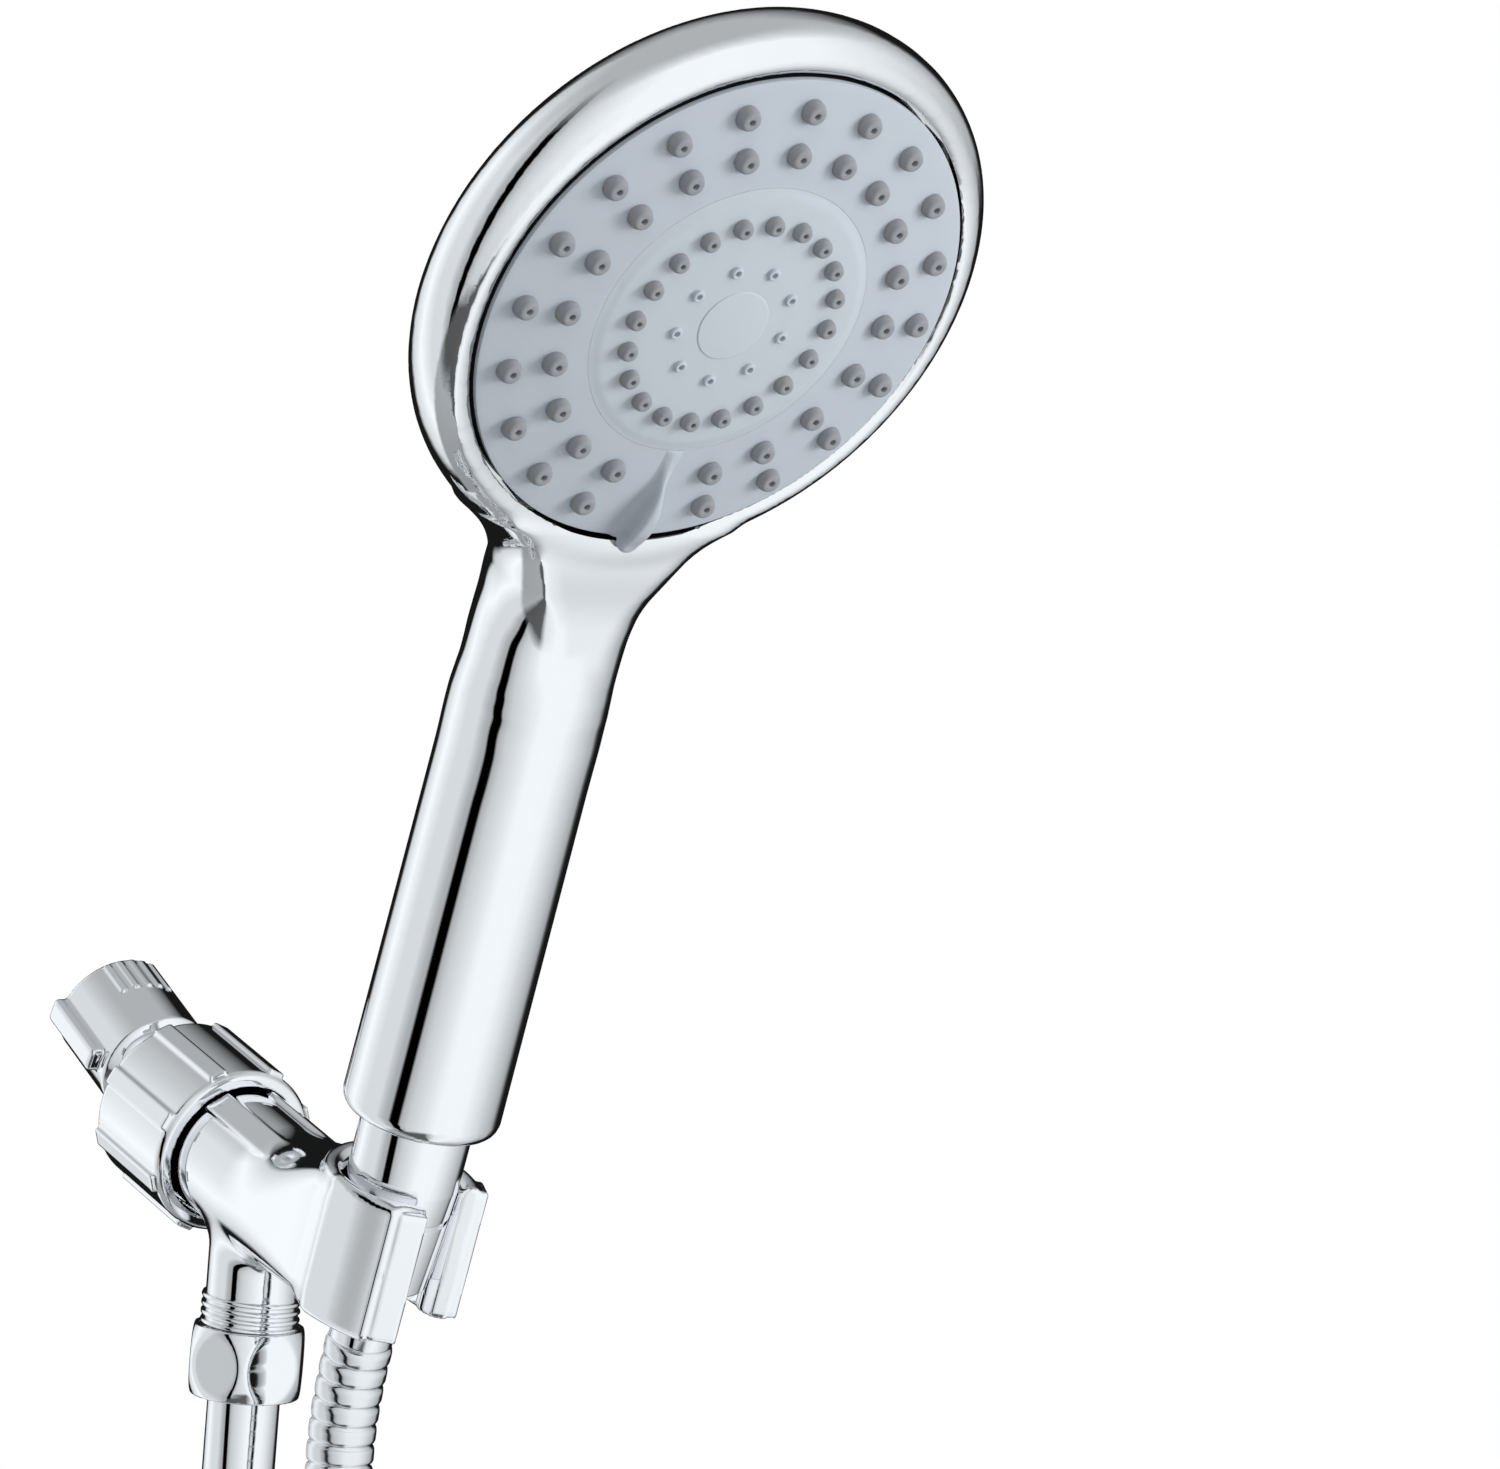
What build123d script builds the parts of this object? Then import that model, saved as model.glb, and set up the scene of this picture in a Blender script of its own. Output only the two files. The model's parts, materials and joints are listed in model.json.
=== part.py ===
from build123d import *
import os
from math import acos, cos, pi, radians, sin, sqrt, tan

# Handheld shower in its swivel bracket, millimetres, +Z up, forward is -Y, all main axes at X = 0.
# The origin is the centre of the inlet socket's mouth.

# Angles of the bracket and the hand shower, degrees
inlet_drop = 34.4
barrel_drop = 22.5
handle_lean = 24.65
face_tilt = 12.5
outlet_lean = 8.0

# Clearances
running_gap = 0.08
seat_gap = 0.15
swing_gap = 0.3

# Ball joint
inlet_reach = 40.4
inlet_r = 10.3
inlet_depth = 18.0
collar_r = 12.5
collar_start = 19.0
wing_r = 15.2
wing_width = 5.5
grip_count = 5
grip_pitch = 13.0
grip_width = 1.6
grip_height = 0.5
ball_r = 10.5
ball_flat = 8.8
neck_r = 6.0
neck_length = 13.0
water_r = 4.5
seal_wall = 1.15
seal_from = 35.0
seal_to = 75.0
seat_wall = 1.75
seat_length = 12.2

# Coupling nut
nut_back = 10.0
nut_front = 16.9
nut_r = 18.3
nut_rib_height = 0.9
nut_rib_width = 4.2
nut_rib_count = 8
nut_lip = 5.0
nut_mouth_r = 15.5
nut_edge = 1.4

# Bracket barrel and cradle
barrel_r = 14.25
barrel_thread_r = 15.1
barrel_thread_end = 11.0
barrel_reach = 75.0
flare_start = 38.0
cradle_r = 16.3
cradle_rise = 23.0
cradle_fall = 7.0
cradle_corner = 5.0
cradle_edge = 1.2
mouth_chamfer = 2.0
slot_turn = 23.5
slot_half_angle = 36.5
slot_width = 15.4
jaw_width = 6.0
jaw_height = 1.5
jaw_inset = 10.6
jaw_margin = 0.6
jaw_edge = 1.0
rib_angle = 31.0
rib_width = 6.0
rib_height = 0.9
rib_length = 27.0

# Outlet
outlet_reach = 27.9
outlet_neck_r = 9.6
outlet_neck_end = 24.1
outlet_thread_r = 10.4
outlet_end = 36.0

# Hexagon nut and the hose's lower end
hex_start = 31.5
hex_length = 14.8
hex_flat = 23.2
hex_r = 12.9
hex_end_r = 11.5
hex_floor = 3.6
washer_wall = 2.2
tail_flange_r = 9.6
tail_flange = 2.0
tail_r = 4.6
tail_bore_r = 3.4
tail_grip = 12.0
sleeve_r = 7.6
sleeve_length = 18.0

# Cone nut and the hose's upper end
cone_top_r = 11.5
cone_end_r = 10.2
cone_length = 36.5
cone_groove = 20.0
cone_groove_width = 1.2
cone_groove_depth = 0.6
cone_start = 0.6
cone_thread_depth = 13.6
handle_lift = 13.8
ferrule_r = 6.6
ferrule_length = 15.0

# Hose
hose_r = 7.0
hose_root_r = 6.3
hose_bore_r = 4.85
rib_pitch = 4.5
rib_groove = 0.7
rib_slope = 0.3
coil_r = 71.0
coil_pitch = 17.6
coil_turns = 2.5
coil_front = -87.0
coil_height = -262.0
bend_r = 55.0
straight_end = 2 * hose_r
upper_run = 16.0
upper_drop = 24.0
upper_ease = 2.4
return_ease = 2.0
tie_width = 8.0
tie_wall = 1.2
tie_gap = 0.5

# Handle
handle_r = 16.3
handle_top_r = 15.8
handle_straight = 126.0
handle_end = 175.0
handle_edge = 2.5
handle_wall = 3.0
handle_bore_end = 112.0
nipple_r = 10.36
nipple_length = 9.5
nipple_bore_r = 7.2
nipple_flange = 2.2
nipple_recess = 0.5
nipple_plug = 12.0
restrictor_wall = 3.0
ring_wire = 1.1
tube_r = 5.8
tube_wall = 1.5
tube_end = 149.0

# Head
head_r = 60.7
rim_rise = 125.54
rim_forward = 14.26
lip_height = 0.2
lip_seat = 1.2
lip_width = 8.0
side_depth = 8.0
shoulder_inset = 4.7
shoulder_depth = 17.7
head_depth = 33.0
chamber_room = 9.5
core_depth = 20.5

# Neck flare: height on the handle, half width, half depth and forward shift of each section
flare_sections = (
    (98.0, 14.6, 14.4, 0.0),
    (108.0, 15.9, 14.2, 0.3),
    (114.0, 17.4, 13.7, 0.8),
    (120.0, 19.9, 12.4, 2.0),
    (126.0, 23.5, 10.4, 3.9),
    (131.0, 27.5, 8.6, 5.6),
    (137.0, 33.6, 6.0, 8.0),
)

# Spray face
plate_r = head_r - lip_width
plate_gap = 0.4
plate_crown = 4.4
plate_wall = 2.4
plate_skirt = 6.0
centre_step = 0.35
nozzle_pitch = 18.0
nozzle_r = 2.45
nozzle_tip_r = 1.5
nozzle_height = 2.0
small_nozzle_r = 1.95
small_tip_r = 1.2
mat_wall = 1.2
mat_drop = 1.0
jet_count = 9
jet_collar_r = 1.3
jet_collar_height = 0.6
jet_r = 0.55
cap_r = 7.7
cap_wall = 1.0
cap_recess = 1.1
lever_root = 2.5
lever_over = 3.7
lever_width = 7.4
lever_tip_width = 2.2
lever_height = 5.6
lever_clear = 1.3

# Rings of the face, as places from the cap's edge at 0 to the face's edge at 1
outer_ring = 0.851
second_ring = 0.651
centre_ring = 0.4956
inner_ring = 0.3267
jet_ring = 0.1089

# Selector inside the head
chamber_wall = 2.3
channel_wall = 1.4
hub_r = 5.0
hub_wall = 4.3
hub_top = 4.0
pivot_head_r = 6.3
pivot_head = 1.7
pivot_r = 1.9
disc_inset = 4.9
disc_wall = 2.9
core_inset = 8.8
boss_r = 7.4
boss_start = 143.0
boss_end = 158.0
boss_socket = 6.4
port_r = 3.6
port_inset = 7.5
gasket_wall = 2.4
gasket_height = 1.5
detent_ring_r = 17.0
detent_r = 2.0
detent_travel = 0.6
detent_pocket = 7.2
detent_step = 30.0
core_screw_inset = 7.9
core_screw_r = 1.7
core_screw_head_r = 3.2
core_screw_head = 2.4
core_screw_length = 9.5


def heading(drop):
    """Direction that points forward and drop degrees below level."""
    return Vector(0, -cos(radians(drop)), -sin(radians(drop)))


# Frames of the bracket, the outlet, the handle and the spray face
sideways = (1, 0, 0)
ball_centre = heading(inlet_drop) * inlet_reach
cradle_centre = ball_centre + heading(barrel_drop) * barrel_reach
handle_up = Vector(0, -sin(radians(handle_lean)), cos(radians(handle_lean)))
handle_base = cradle_centre + handle_up * (cradle_rise + handle_lift)
face_lean = handle_lean + face_tilt
face_up = Vector(0, -sin(radians(face_lean)), cos(radians(face_lean)))
rim_low = handle_base + handle_up * rim_rise + heading(handle_lean) * rim_forward
face_centre = rim_low + face_up * head_r
outlet_down = Vector(0, sin(radians(outlet_lean)), -cos(radians(outlet_lean)))
outlet_start = ball_centre + heading(barrel_drop) * outlet_reach
adapter_frame = Plane(ball_centre, sideways, heading(inlet_drop) * -1)
barrel_frame = Plane(ball_centre, sideways, heading(barrel_drop))
handle_frame = Plane(handle_base, sideways, handle_up)
face_frame = Plane(face_centre, sideways, heading(face_lean))
outlet_frame = Plane(outlet_start, sideways, outlet_down)
handle_axis_in_face = Location(face_frame).inverse() * Location(handle_frame)


def turned(*corners):
    """Solid of revolution about Z from (radius, height) corners."""
    return revolve(Plane.XZ * make_face(Polyline(*corners, close=True)), Axis.Z, 360)


def turned_outline(lines):
    """Solid of revolution about Z from lines and arcs drawn as (radius, height)."""
    return revolve(Plane.XZ * make_face(lines), Axis.Z, 360)


def rod(radius, low, high):
    return Pos(0, 0, low) * Cylinder(radius, high - low, align=(Align.CENTER, Align.CENTER, Align.MIN))


def ring(outer, inner, low, high):
    return turned((inner, low), (outer, low), (outer, high), (inner, high))


def o_ring(middle_r, wire_r, height):
    return Pos(0, 0, height) * Torus(middle_r, wire_r)


def around(radius, angle):
    """Place on a circle, angle in degrees from +X."""
    return Pos(radius * cos(radians(angle)), radius * sin(radians(angle)), 0)


def bow(start, end, along, out):
    """Arc from start to end through a point part of the way along, pushed out sideways."""
    step = (end[0] - start[0], end[1] - start[1])
    middle = (start[0] + along * step[0] + out * step[1], start[1] + along * step[1] - out * step[0])
    return ThreePointArc(start, middle, end)


# Radii of the spray face and of the selector behind it
def ring_radius(place):
    return cap_r + place * (plate_r - cap_r)


outer_ring_r = ring_radius(outer_ring)
second_ring_r = ring_radius(second_ring)
centre_r = ring_radius(centre_ring)
inner_ring_r = ring_radius(inner_ring)
jet_ring_r = ring_radius(jet_ring)
lever_inner = centre_r + lever_root
lever_outer = plate_r + lever_over
core_r = plate_r - core_inset
disc_r = core_r - disc_inset
port_ring_r = disc_r - port_inset
core_screw_ring_r = core_r - core_screw_inset

# Spray face heights above the plane of its edge
dome_r = plate_r ** 2 / (2 * plate_crown) + plate_crown / 2
skirt_in = plate_r - plate_wall
chamber_top = -plate_skirt - running_gap
chamber_floor = chamber_top - chamber_wall
disc_floor = chamber_floor - running_gap - disc_wall
core_front = disc_floor - 0.5
screw_under = -hub_top + 0.1


def dome(radius):
    """Height of the spray face at a radius."""
    return plate_crown - dome_r + sqrt(dome_r ** 2 - radius ** 2)


def dome_arc(inner, outer, rise):
    """Arc of the spray face between two radii, lifted by rise."""
    radii = (inner, (inner + outer) / 2, outer)
    return ThreePointArc(*[(r, dome(r) + rise) for r in radii])


def outer_angles():
    """Angles of the outer nozzles, with the lever's place left out."""
    count = round(360 / nozzle_pitch)
    return [index * nozzle_pitch - 90 for index in range(1, count)]


def inner_angles():
    count = round(360 / nozzle_pitch)
    return [index * nozzle_pitch - 90 for index in range(count)]


def ball_adapter():
    sphere = Sphere(ball_r) - rod(ball_r, -2 * ball_r, -ball_flat)
    collar = turned(
        (0, 0),
        (neck_r, 0),
        (neck_r, neck_length),
        (collar_r, collar_start),
        (collar_r, inlet_reach),
        (0, inlet_reach),
    )
    wing_start = collar_start + 2
    wings = Pos(0, 0, wing_start) * Box(
        2 * wing_r, wing_width, inlet_reach - wing_start, align=(Align.CENTER, Align.CENTER, Align.MIN)
    )
    body = sphere + collar + fillet(wings.edges().filter_by(Axis.Z), wing_width / 4)
    grip_length = inlet_depth / 2
    for index in range(grip_count):
        for side in (90, -90):
            angle = side + (index - (grip_count - 1) / 2) * grip_pitch
            rib = Box(2 * grip_height, grip_width, grip_length)
            body += Rot(0, 0, angle) * Pos(collar_r, 0, inlet_reach - grip_length) * rib
    body -= rod(inlet_r, inlet_reach - inlet_depth, inlet_reach + 1)
    washer_seat = inlet_reach - inlet_depth - washer_wall
    body -= rod(inlet_r - 1, washer_seat, inlet_reach)
    body -= rod(water_r, -2 * ball_r, inlet_reach)
    return body


def inlet_washer():
    top = inlet_reach - inlet_depth
    return ring(inlet_r - 1 - seat_gap, water_r, top - washer_wall, top - seat_gap)


seal_r = ball_r + running_gap + seal_wall
seat_in_r = seal_r + running_gap
seat_r = seat_in_r + seat_wall
socket_r = seat_r + running_gap
barrel_back = -1.0


def ball_seal():
    def on(radius, angle):
        return (radius * sin(radians(angle)), radius * cos(radians(angle)))

    inner_r = ball_r + running_gap
    middle = (seal_from + seal_to) / 2
    lines = [
        ThreePointArc(on(inner_r, seal_from), on(inner_r, middle), on(inner_r, seal_to)),
        Line(on(inner_r, seal_to), on(seal_r, seal_to)),
        ThreePointArc(on(seal_r, seal_to), on(seal_r, middle), on(seal_r, seal_from)),
        Line(on(seal_r, seal_from), on(inner_r, seal_from)),
    ]
    return turned_outline(lines)


def ball_seat():
    return rod(seat_r, 0.2, seat_length) - Sphere(seat_in_r) - rod(water_r, 0, 2 * seat_length)


def coupling_nut():
    ball_room = ball_r + swing_gap
    step = barrel_back - swing_gap
    thread_r = barrel_thread_r + running_gap
    lip_r = sqrt(ball_room ** 2 - nut_lip ** 2)
    shell = turned(
        (0, -nut_back),
        (nut_r - nut_edge, -nut_back),
        (nut_r, -nut_back + nut_edge),
        (nut_r, nut_front - nut_edge),
        (nut_r - nut_edge, nut_front),
        (0, nut_front),
    )
    rib_length = nut_back + nut_front - 2 * nut_edge
    rib = Box(2 * nut_rib_height, nut_rib_width, rib_length, align=(Align.CENTER, Align.CENTER, Align.MIN))
    rib = fillet(rib.edges().filter_by(Axis.Z), nut_rib_height / 2)
    for index in range(nut_rib_count):
        angle = (index + 0.5) * 360 / nut_rib_count
        shell += Rot(0, 0, angle) * Pos(nut_r, 0, -nut_back + nut_edge) * rib
    shell -= rod(thread_r, step, nut_front + 1)
    shell -= Sphere(ball_room)
    shell -= turned(
        (0, -nut_lip),
        (lip_r, -nut_lip),
        (nut_mouth_r, -nut_back),
        (nut_mouth_r, -nut_back - 1),
        (0, -nut_back - 1),
    )
    return shell


cradle_top = -handle_lift
cradle_bottom = cradle_top - cradle_rise - cradle_fall


def cone_radius(height):
    """Radius of the cone nut at a height on the handle's axis."""
    share = min(1, (cradle_top - height) / (cradle_top + cone_length))
    return cone_top_r + (cone_end_r - cone_top_r) * share


def bracket_body():
    barrel = rod(barrel_r, barrel_back, barrel_reach / 2) + rod(barrel_thread_r, barrel_back, barrel_thread_end)
    round_end = barrel_frame * Pos(0, 0, flare_start) * Circle(barrel_r)
    cradle_height = cradle_top - cradle_bottom
    cradle_middle = (cradle_top + cradle_bottom) / 2
    across = Plane(handle_base + handle_up * cradle_middle, sideways, heading(handle_lean))
    flat_end = across * RectangleRounded(2 * cradle_r - 0.6, cradle_height - 1.2, cradle_corner)
    flare = loft([round_end.face(), flat_end.face()])
    cradle = handle_frame * rod(cradle_r, cradle_bottom, cradle_top)
    cradle = fillet(cradle.edges().filter_by(GeomType.CIRCLE), cradle_edge)
    body = barrel_frame * barrel + flare + cradle
    for side in (-1, 1):
        rib = Box(rib_width, 2 * rib_height, rib_length, align=(Align.CENTER, Align.CENTER, Align.MIN))
        rib = fillet(rib.edges().filter_by(Axis.Z), rib_height / 2)
        body += barrel_frame * Rot(0, 0, side * rib_angle) * Pos(0, barrel_r, nut_front + swing_gap) * rib
        jaw_angle = -90 + slot_turn + side * (slot_half_angle + jaw_inset)
        jaw = Box(2 * jaw_height, jaw_width, cradle_height - 2 * jaw_margin)
        jaw = fillet(jaw.edges(), jaw_edge)
        body += handle_frame * Rot(0, 0, jaw_angle) * Pos(cradle_r, 0, cradle_middle) * jaw
    outlet = rod(outlet_neck_r, 0, outlet_neck_end) + rod(outlet_thread_r, outlet_neck_end, outlet_end)
    body += outlet_frame * outlet

    # Ball socket and waterway
    body -= barrel_frame * rod(socket_r, 2 * barrel_back, seat_length + seat_gap)
    body -= barrel_frame * rod(water_r, 0, outlet_reach)
    body -= outlet_frame * rod(water_r, 0, outlet_end + 1)

    # Tapered cup and its open front
    cup_top = cone_radius(cradle_top) + swing_gap
    cup_low = cone_end_r + swing_gap
    cup_end = cradle_bottom - barrel_r
    cup = turned(
        (0, cup_end),
        (cup_low, cup_end),
        (cup_low, -cone_length),
        (cup_top, cradle_top - mouth_chamfer),
        (cup_top + mouth_chamfer, cradle_top),
        (cup_top + mouth_chamfer, cradle_top + 1),
        (0, cradle_top + 1),
    )
    body -= handle_frame * cup
    reach = 2 * cradle_r
    spread = reach * tan(radians(slot_half_angle))
    wedge = make_face(Polyline((0, 0), (spread, -reach), (-spread, -reach), close=True))
    wedge = Pos(0, 0, cradle_bottom - 1) * extrude(wedge, cradle_height + 2)
    slot = Pos(0, -reach / 2, cradle_middle) * Box(slot_width, reach, cradle_height + 2)
    body -= handle_frame * Rot(0, 0, slot_turn) * (wedge + slot)
    return body


hex_end = hex_start + hex_length
hex_seat = hex_end - hex_floor


def hex_nut():
    body = turned_outline(
        [
            Line((0, hex_start), (hex_end_r, hex_start)),
            ThreePointArc((hex_end_r, hex_start), (hex_r, (hex_start + hex_end) / 2), (hex_end_r, hex_end)),
            Line((hex_end_r, hex_end), (0, hex_end)),
            Line((0, hex_end), (0, hex_start)),
        ]
    )
    flats = Pos(0, 0, hex_start) * extrude(RegularPolygon(hex_flat / 2, 6, major_radius=False), hex_length)
    body = body & flats
    body -= rod(outlet_thread_r + running_gap, hex_start - 1, hex_seat)
    body -= rod(tail_r + seat_gap, hex_start, hex_end + 1)
    return body


def hex_washer():
    return ring(tail_flange_r, water_r, outlet_end + seat_gap, outlet_end + seat_gap + washer_wall)


def lower_tail():
    flange_top = outlet_end + seat_gap + washer_wall
    stem_end = hex_end + sleeve_length + tail_grip
    body = rod(tail_flange_r, flange_top + seat_gap, hex_seat - seat_gap)
    body += rod(tail_r, flange_top + seat_gap, stem_end)
    return body - rod(tail_bore_r, 0, stem_end + 1)


def crimp_sleeve():
    low = hex_end + seat_gap
    tube = ring(sleeve_r, tail_r + seat_gap, low, hex_end + sleeve_length)
    return fillet(tube.edges().filter_by(GeomType.CIRCLE).sort_by(Axis.Z)[:2].sort_by(SortBy.RADIUS)[-1:], 0.6)


def cone_nut():
    top = -cone_start
    body = turned(
        (0, top),
        (cone_top_r - 0.5, top),
        (cone_top_r, top - 0.5),
        (cone_top_r, cradle_top),
        (cone_end_r, -cone_length),
        (0, -cone_length),
    )
    groove_r = cone_radius(-cone_groove) - cone_groove_depth
    body -= ring(cone_top_r + 1, groove_r, -cone_groove - cone_groove_width, -cone_groove)
    body -= rod(nipple_r + running_gap, -cone_thread_depth, 0)
    body -= rod(tail_r + seat_gap, -2 * cone_length, 0)
    return body


def cone_washer():
    top = -nipple_length - seat_gap
    return ring(tail_flange_r, water_r, top - washer_wall, top)


def upper_tail():
    top = -nipple_length - seat_gap - washer_wall - seat_gap
    stem_end = -cone_length - ferrule_length - tail_grip
    body = rod(tail_flange_r, -cone_thread_depth + seat_gap, top) + rod(tail_r, stem_end, top)
    return body - rod(tail_bore_r, stem_end - 1, 0)


def upper_ferrule():
    low = -cone_length - ferrule_length
    tube = ring(ferrule_r, tail_r + seat_gap, low, -cone_length - seat_gap)
    return fillet(tube.edges().filter_by(GeomType.CIRCLE).sort_by(SortBy.RADIUS)[-2:], 0.5)


def handle_shell():
    lip_in = (plate_r, -lip_seat)
    crown = (lip_in[0] + 0.42 * (head_r - lip_in[0]), -lip_height)
    side = (head_r, -side_depth)
    shoulder = (head_r - shoulder_inset, -shoulder_depth)
    back = (0, -head_depth)
    head = turned_outline(
        [
            Line((0, -lip_seat), lip_in),
            bow(lip_in, crown, 0.45, -0.12),
            bow(crown, side, 0.5, -0.2),
            bow(side, shoulder, 0.5, -0.12),
            bow(shoulder, back, 0.5, -0.067),
            Line(back, (0, -lip_seat)),
        ]
    )
    edge_start = (handle_r - handle_edge, 0)
    edge_end = (handle_r, handle_edge)
    top_start = (handle_top_r, handle_straight)
    grip = turned_outline(
        [
            Line((0, 0), edge_start),
            RadiusArc(edge_start, edge_end, -handle_edge),
            Line(edge_end, top_start),
            TangentArc(top_start, (0, handle_end), tangent=(0, 1)),
            Line((0, handle_end), (0, 0)),
        ]
    )
    flare = []
    for height, half_width, half_depth, forward in flare_sections:
        flare.append((Pos(0, -forward, height) * Ellipse(half_width, half_depth)).face())
    body = handle_frame * (grip + loft(flare)) + face_frame * head

    # Room for the spray face, the core and the waterway
    body -= face_frame * rod(plate_r + plate_gap, -chamber_room, plate_crown)
    body -= face_frame * rod(core_r + swing_gap, -core_depth, 0)
    bore = rod(handle_r - handle_wall, nipple_recess - 1, handle_bore_end)
    bore += rod(boss_r + seat_gap, handle_bore_end, boss_end + seat_gap)
    body -= handle_frame * bore
    for angle in core_screw_angles():
        hole = rod(core_screw_r + running_gap, core_front - core_screw_head - core_screw_length - 0.5, -core_depth)
        body -= face_frame * around(core_screw_ring_r, angle) * hole
    return body


def inlet_nipple():
    plug_r = handle_r - handle_wall - running_gap
    body = rod(plug_r, nipple_recess, nipple_recess + nipple_flange + nipple_plug)
    body += rod(nipple_r, -nipple_length, nipple_recess)
    body -= rod(nipple_bore_r, -nipple_length - 1, nipple_recess + nipple_flange + nipple_plug - 3)
    return body - rod(tube_r - tube_wall, 0, 2 * nipple_plug)


def filter_washer():
    outer = nipple_bore_r - running_gap
    screen = rod(outer, -nipple_length + 1, -nipple_length + 1.6)
    rim = ring(outer, outer - 1.6, -nipple_length + 0.2, -nipple_length + 2.4)
    return rim + screen


def flow_restrictor():
    low = -nipple_length + 2.4 + seat_gap + 2 * ring_wire
    body = rod(nipple_bore_r - running_gap, low, low + restrictor_wall)
    for angle in range(0, 360, 60):
        body -= around(nipple_bore_r * 0.55, angle) * rod(0.9, low - 1, low + restrictor_wall + 1)
    return body


def restrictor_ring():
    height = -nipple_length + 2.4 + seat_gap / 2 + ring_wire
    return o_ring(nipple_bore_r - running_gap - ring_wire, ring_wire, height)


def water_tube():
    low = nipple_recess + nipple_flange + nipple_plug + running_gap
    return ring(tube_r, tube_r - tube_wall, low, tube_end)


def tube_ring():
    return o_ring(tube_r - ring_wire, ring_wire, tube_end + running_gap + ring_wire)


def core_screw_angles():
    return (90, 210, 330)


def head_core():
    disc = rod(core_r, -core_depth + seat_gap, core_front)
    hub = rod(hub_r, core_front, -hub_top)
    boss = handle_axis_in_face * rod(boss_r, boss_start, boss_end)
    body = disc + hub + boss
    body -= rod(pivot_r + running_gap, -core_depth + 2, 0)
    body -= handle_axis_in_face * rod(tube_r + running_gap, boss_start - 1, tube_end + 2 * ring_wire + 2 * running_gap)
    body -= handle_axis_in_face * rod(tube_r - tube_wall, boss_start, boss_end - 1.5)
    body -= Pos(0, -port_ring_r, 0) * rod(port_r, -core_depth, 0)
    groove_r = port_r + gasket_wall + running_gap
    body -= Pos(0, -port_ring_r, 0) * ring(groove_r, port_r, core_front - gasket_height + swing_gap, core_front + 1)
    body -= around(detent_ring_r, 90) * rod(detent_r + running_gap, core_front - detent_pocket, core_front + 1)
    for angle in core_screw_angles():
        place = around(core_screw_ring_r, angle)
        body -= place * rod(core_screw_r + running_gap, -2 * core_depth, 0)
        body -= place * rod(core_screw_head_r + running_gap, core_front - core_screw_head - 0.2, core_front + 1)
    return body


def core_screws():
    seat = core_front - core_screw_head - 0.2 + running_gap
    screw = rod(core_screw_r, seat - core_screw_length, seat) + rod(core_screw_head_r, seat, seat + core_screw_head)
    return Compound([around(core_screw_ring_r, angle) * screw for angle in core_screw_angles()])


def seat_gasket():
    low = core_front - gasket_height + swing_gap
    return Pos(0, -port_ring_r, 0) * ring(port_r + gasket_wall, port_r, low, low + gasket_height)


detent_height = disc_floor - 0.1 - detent_r


def detent_ball():
    return around(detent_ring_r, 90) * Pos(0, 0, detent_height) * Sphere(detent_r)


def detent_spring():
    low = core_front - detent_pocket
    return around(detent_ring_r, 90) * ring(detent_r - 0.1, detent_r - 0.7, low, detent_height - 0.8 * detent_r)


def pivot_screw():
    shank = rod(pivot_r, -core_depth + 3, screw_under)
    return shank + rod(pivot_head_r, screw_under, screw_under + pivot_head)


def selector_disc():
    top = chamber_floor - running_gap
    body = rod(disc_r, disc_floor, top) - rod(hub_r + seat_gap, disc_floor - 1, 0)
    for index in (-2, -1, 0, 1, 2):
        place = around(detent_ring_r, 90 + index * detent_step)
        body -= place * Pos(0, 0, detent_height + detent_travel) * Sphere(detent_r + 0.1)
        port = around(port_ring_r, -90 + index * detent_step)
        body -= port * rod(port_r * 0.7, disc_floor - 1, 0)
    return body


def spray_chamber():
    body = rod(skirt_in + plate_wall - seat_gap, chamber_floor, chamber_top)
    wall_r = centre_r + 2 * channel_wall
    wall_top = dome(wall_r) - plate_wall - seat_gap
    body += ring(wall_r, wall_r - channel_wall, chamber_top, wall_top)
    body += rod(hub_r + hub_wall, chamber_top, -hub_top - 0.2)
    body -= rod(hub_r + seat_gap, chamber_floor - 1, 0)
    for index in (-2, -1, 0, 1, 2):
        place = around(port_ring_r + 4, -90 + index * detent_step)
        body -= place * rod(port_r * 0.7, chamber_floor - 1, chamber_top + 1)
    return body


def lever():
    """Fin of the selector, from its outline seen from above and its outline seen from the side."""
    nose = lever_width / 2
    above = make_face(
        [
            Line((-lever_tip_width / 2, -lever_inner), (lever_tip_width / 2, -lever_inner)),
            Line((lever_tip_width / 2, -lever_inner), (nose, -lever_outer + nose)),
            ThreePointArc((nose, -lever_outer + nose), (0, -lever_outer), (-nose, -lever_outer + nose)),
            Line((-nose, -lever_outer + nose), (-lever_tip_width / 2, -lever_inner)),
        ]
    )
    root = dome(lever_inner)
    peak = (-lever_outer + nose, dome(lever_outer - nose) + lever_height)
    tip = (-lever_outer - 1, dome(plate_r) + lever_height * 0.55)
    beside = make_face(
        [
            bow((-lever_inner, root), peak, 0.5, -0.06),
            bow(peak, tip, 0.5, -0.12),
            Line(tip, (tip[0], lever_clear)),
            Line((tip[0], lever_clear), (-plate_r + 0.6, lever_clear)),
            Line((-plate_r + 0.6, lever_clear), (-plate_r + 0.6, -0.6)),
            Line((-plate_r + 0.6, -0.6), (-lever_inner, root - plate_wall / 2)),
            Line((-lever_inner, root - plate_wall / 2), (-lever_inner, root)),
        ]
    )
    column = Pos(0, 0, -plate_wall) * extrude(above, plate_crown + 2 * lever_height)
    slab = extrude(Plane.YZ * beside, lever_width, both=True)
    return column & slab


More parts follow.
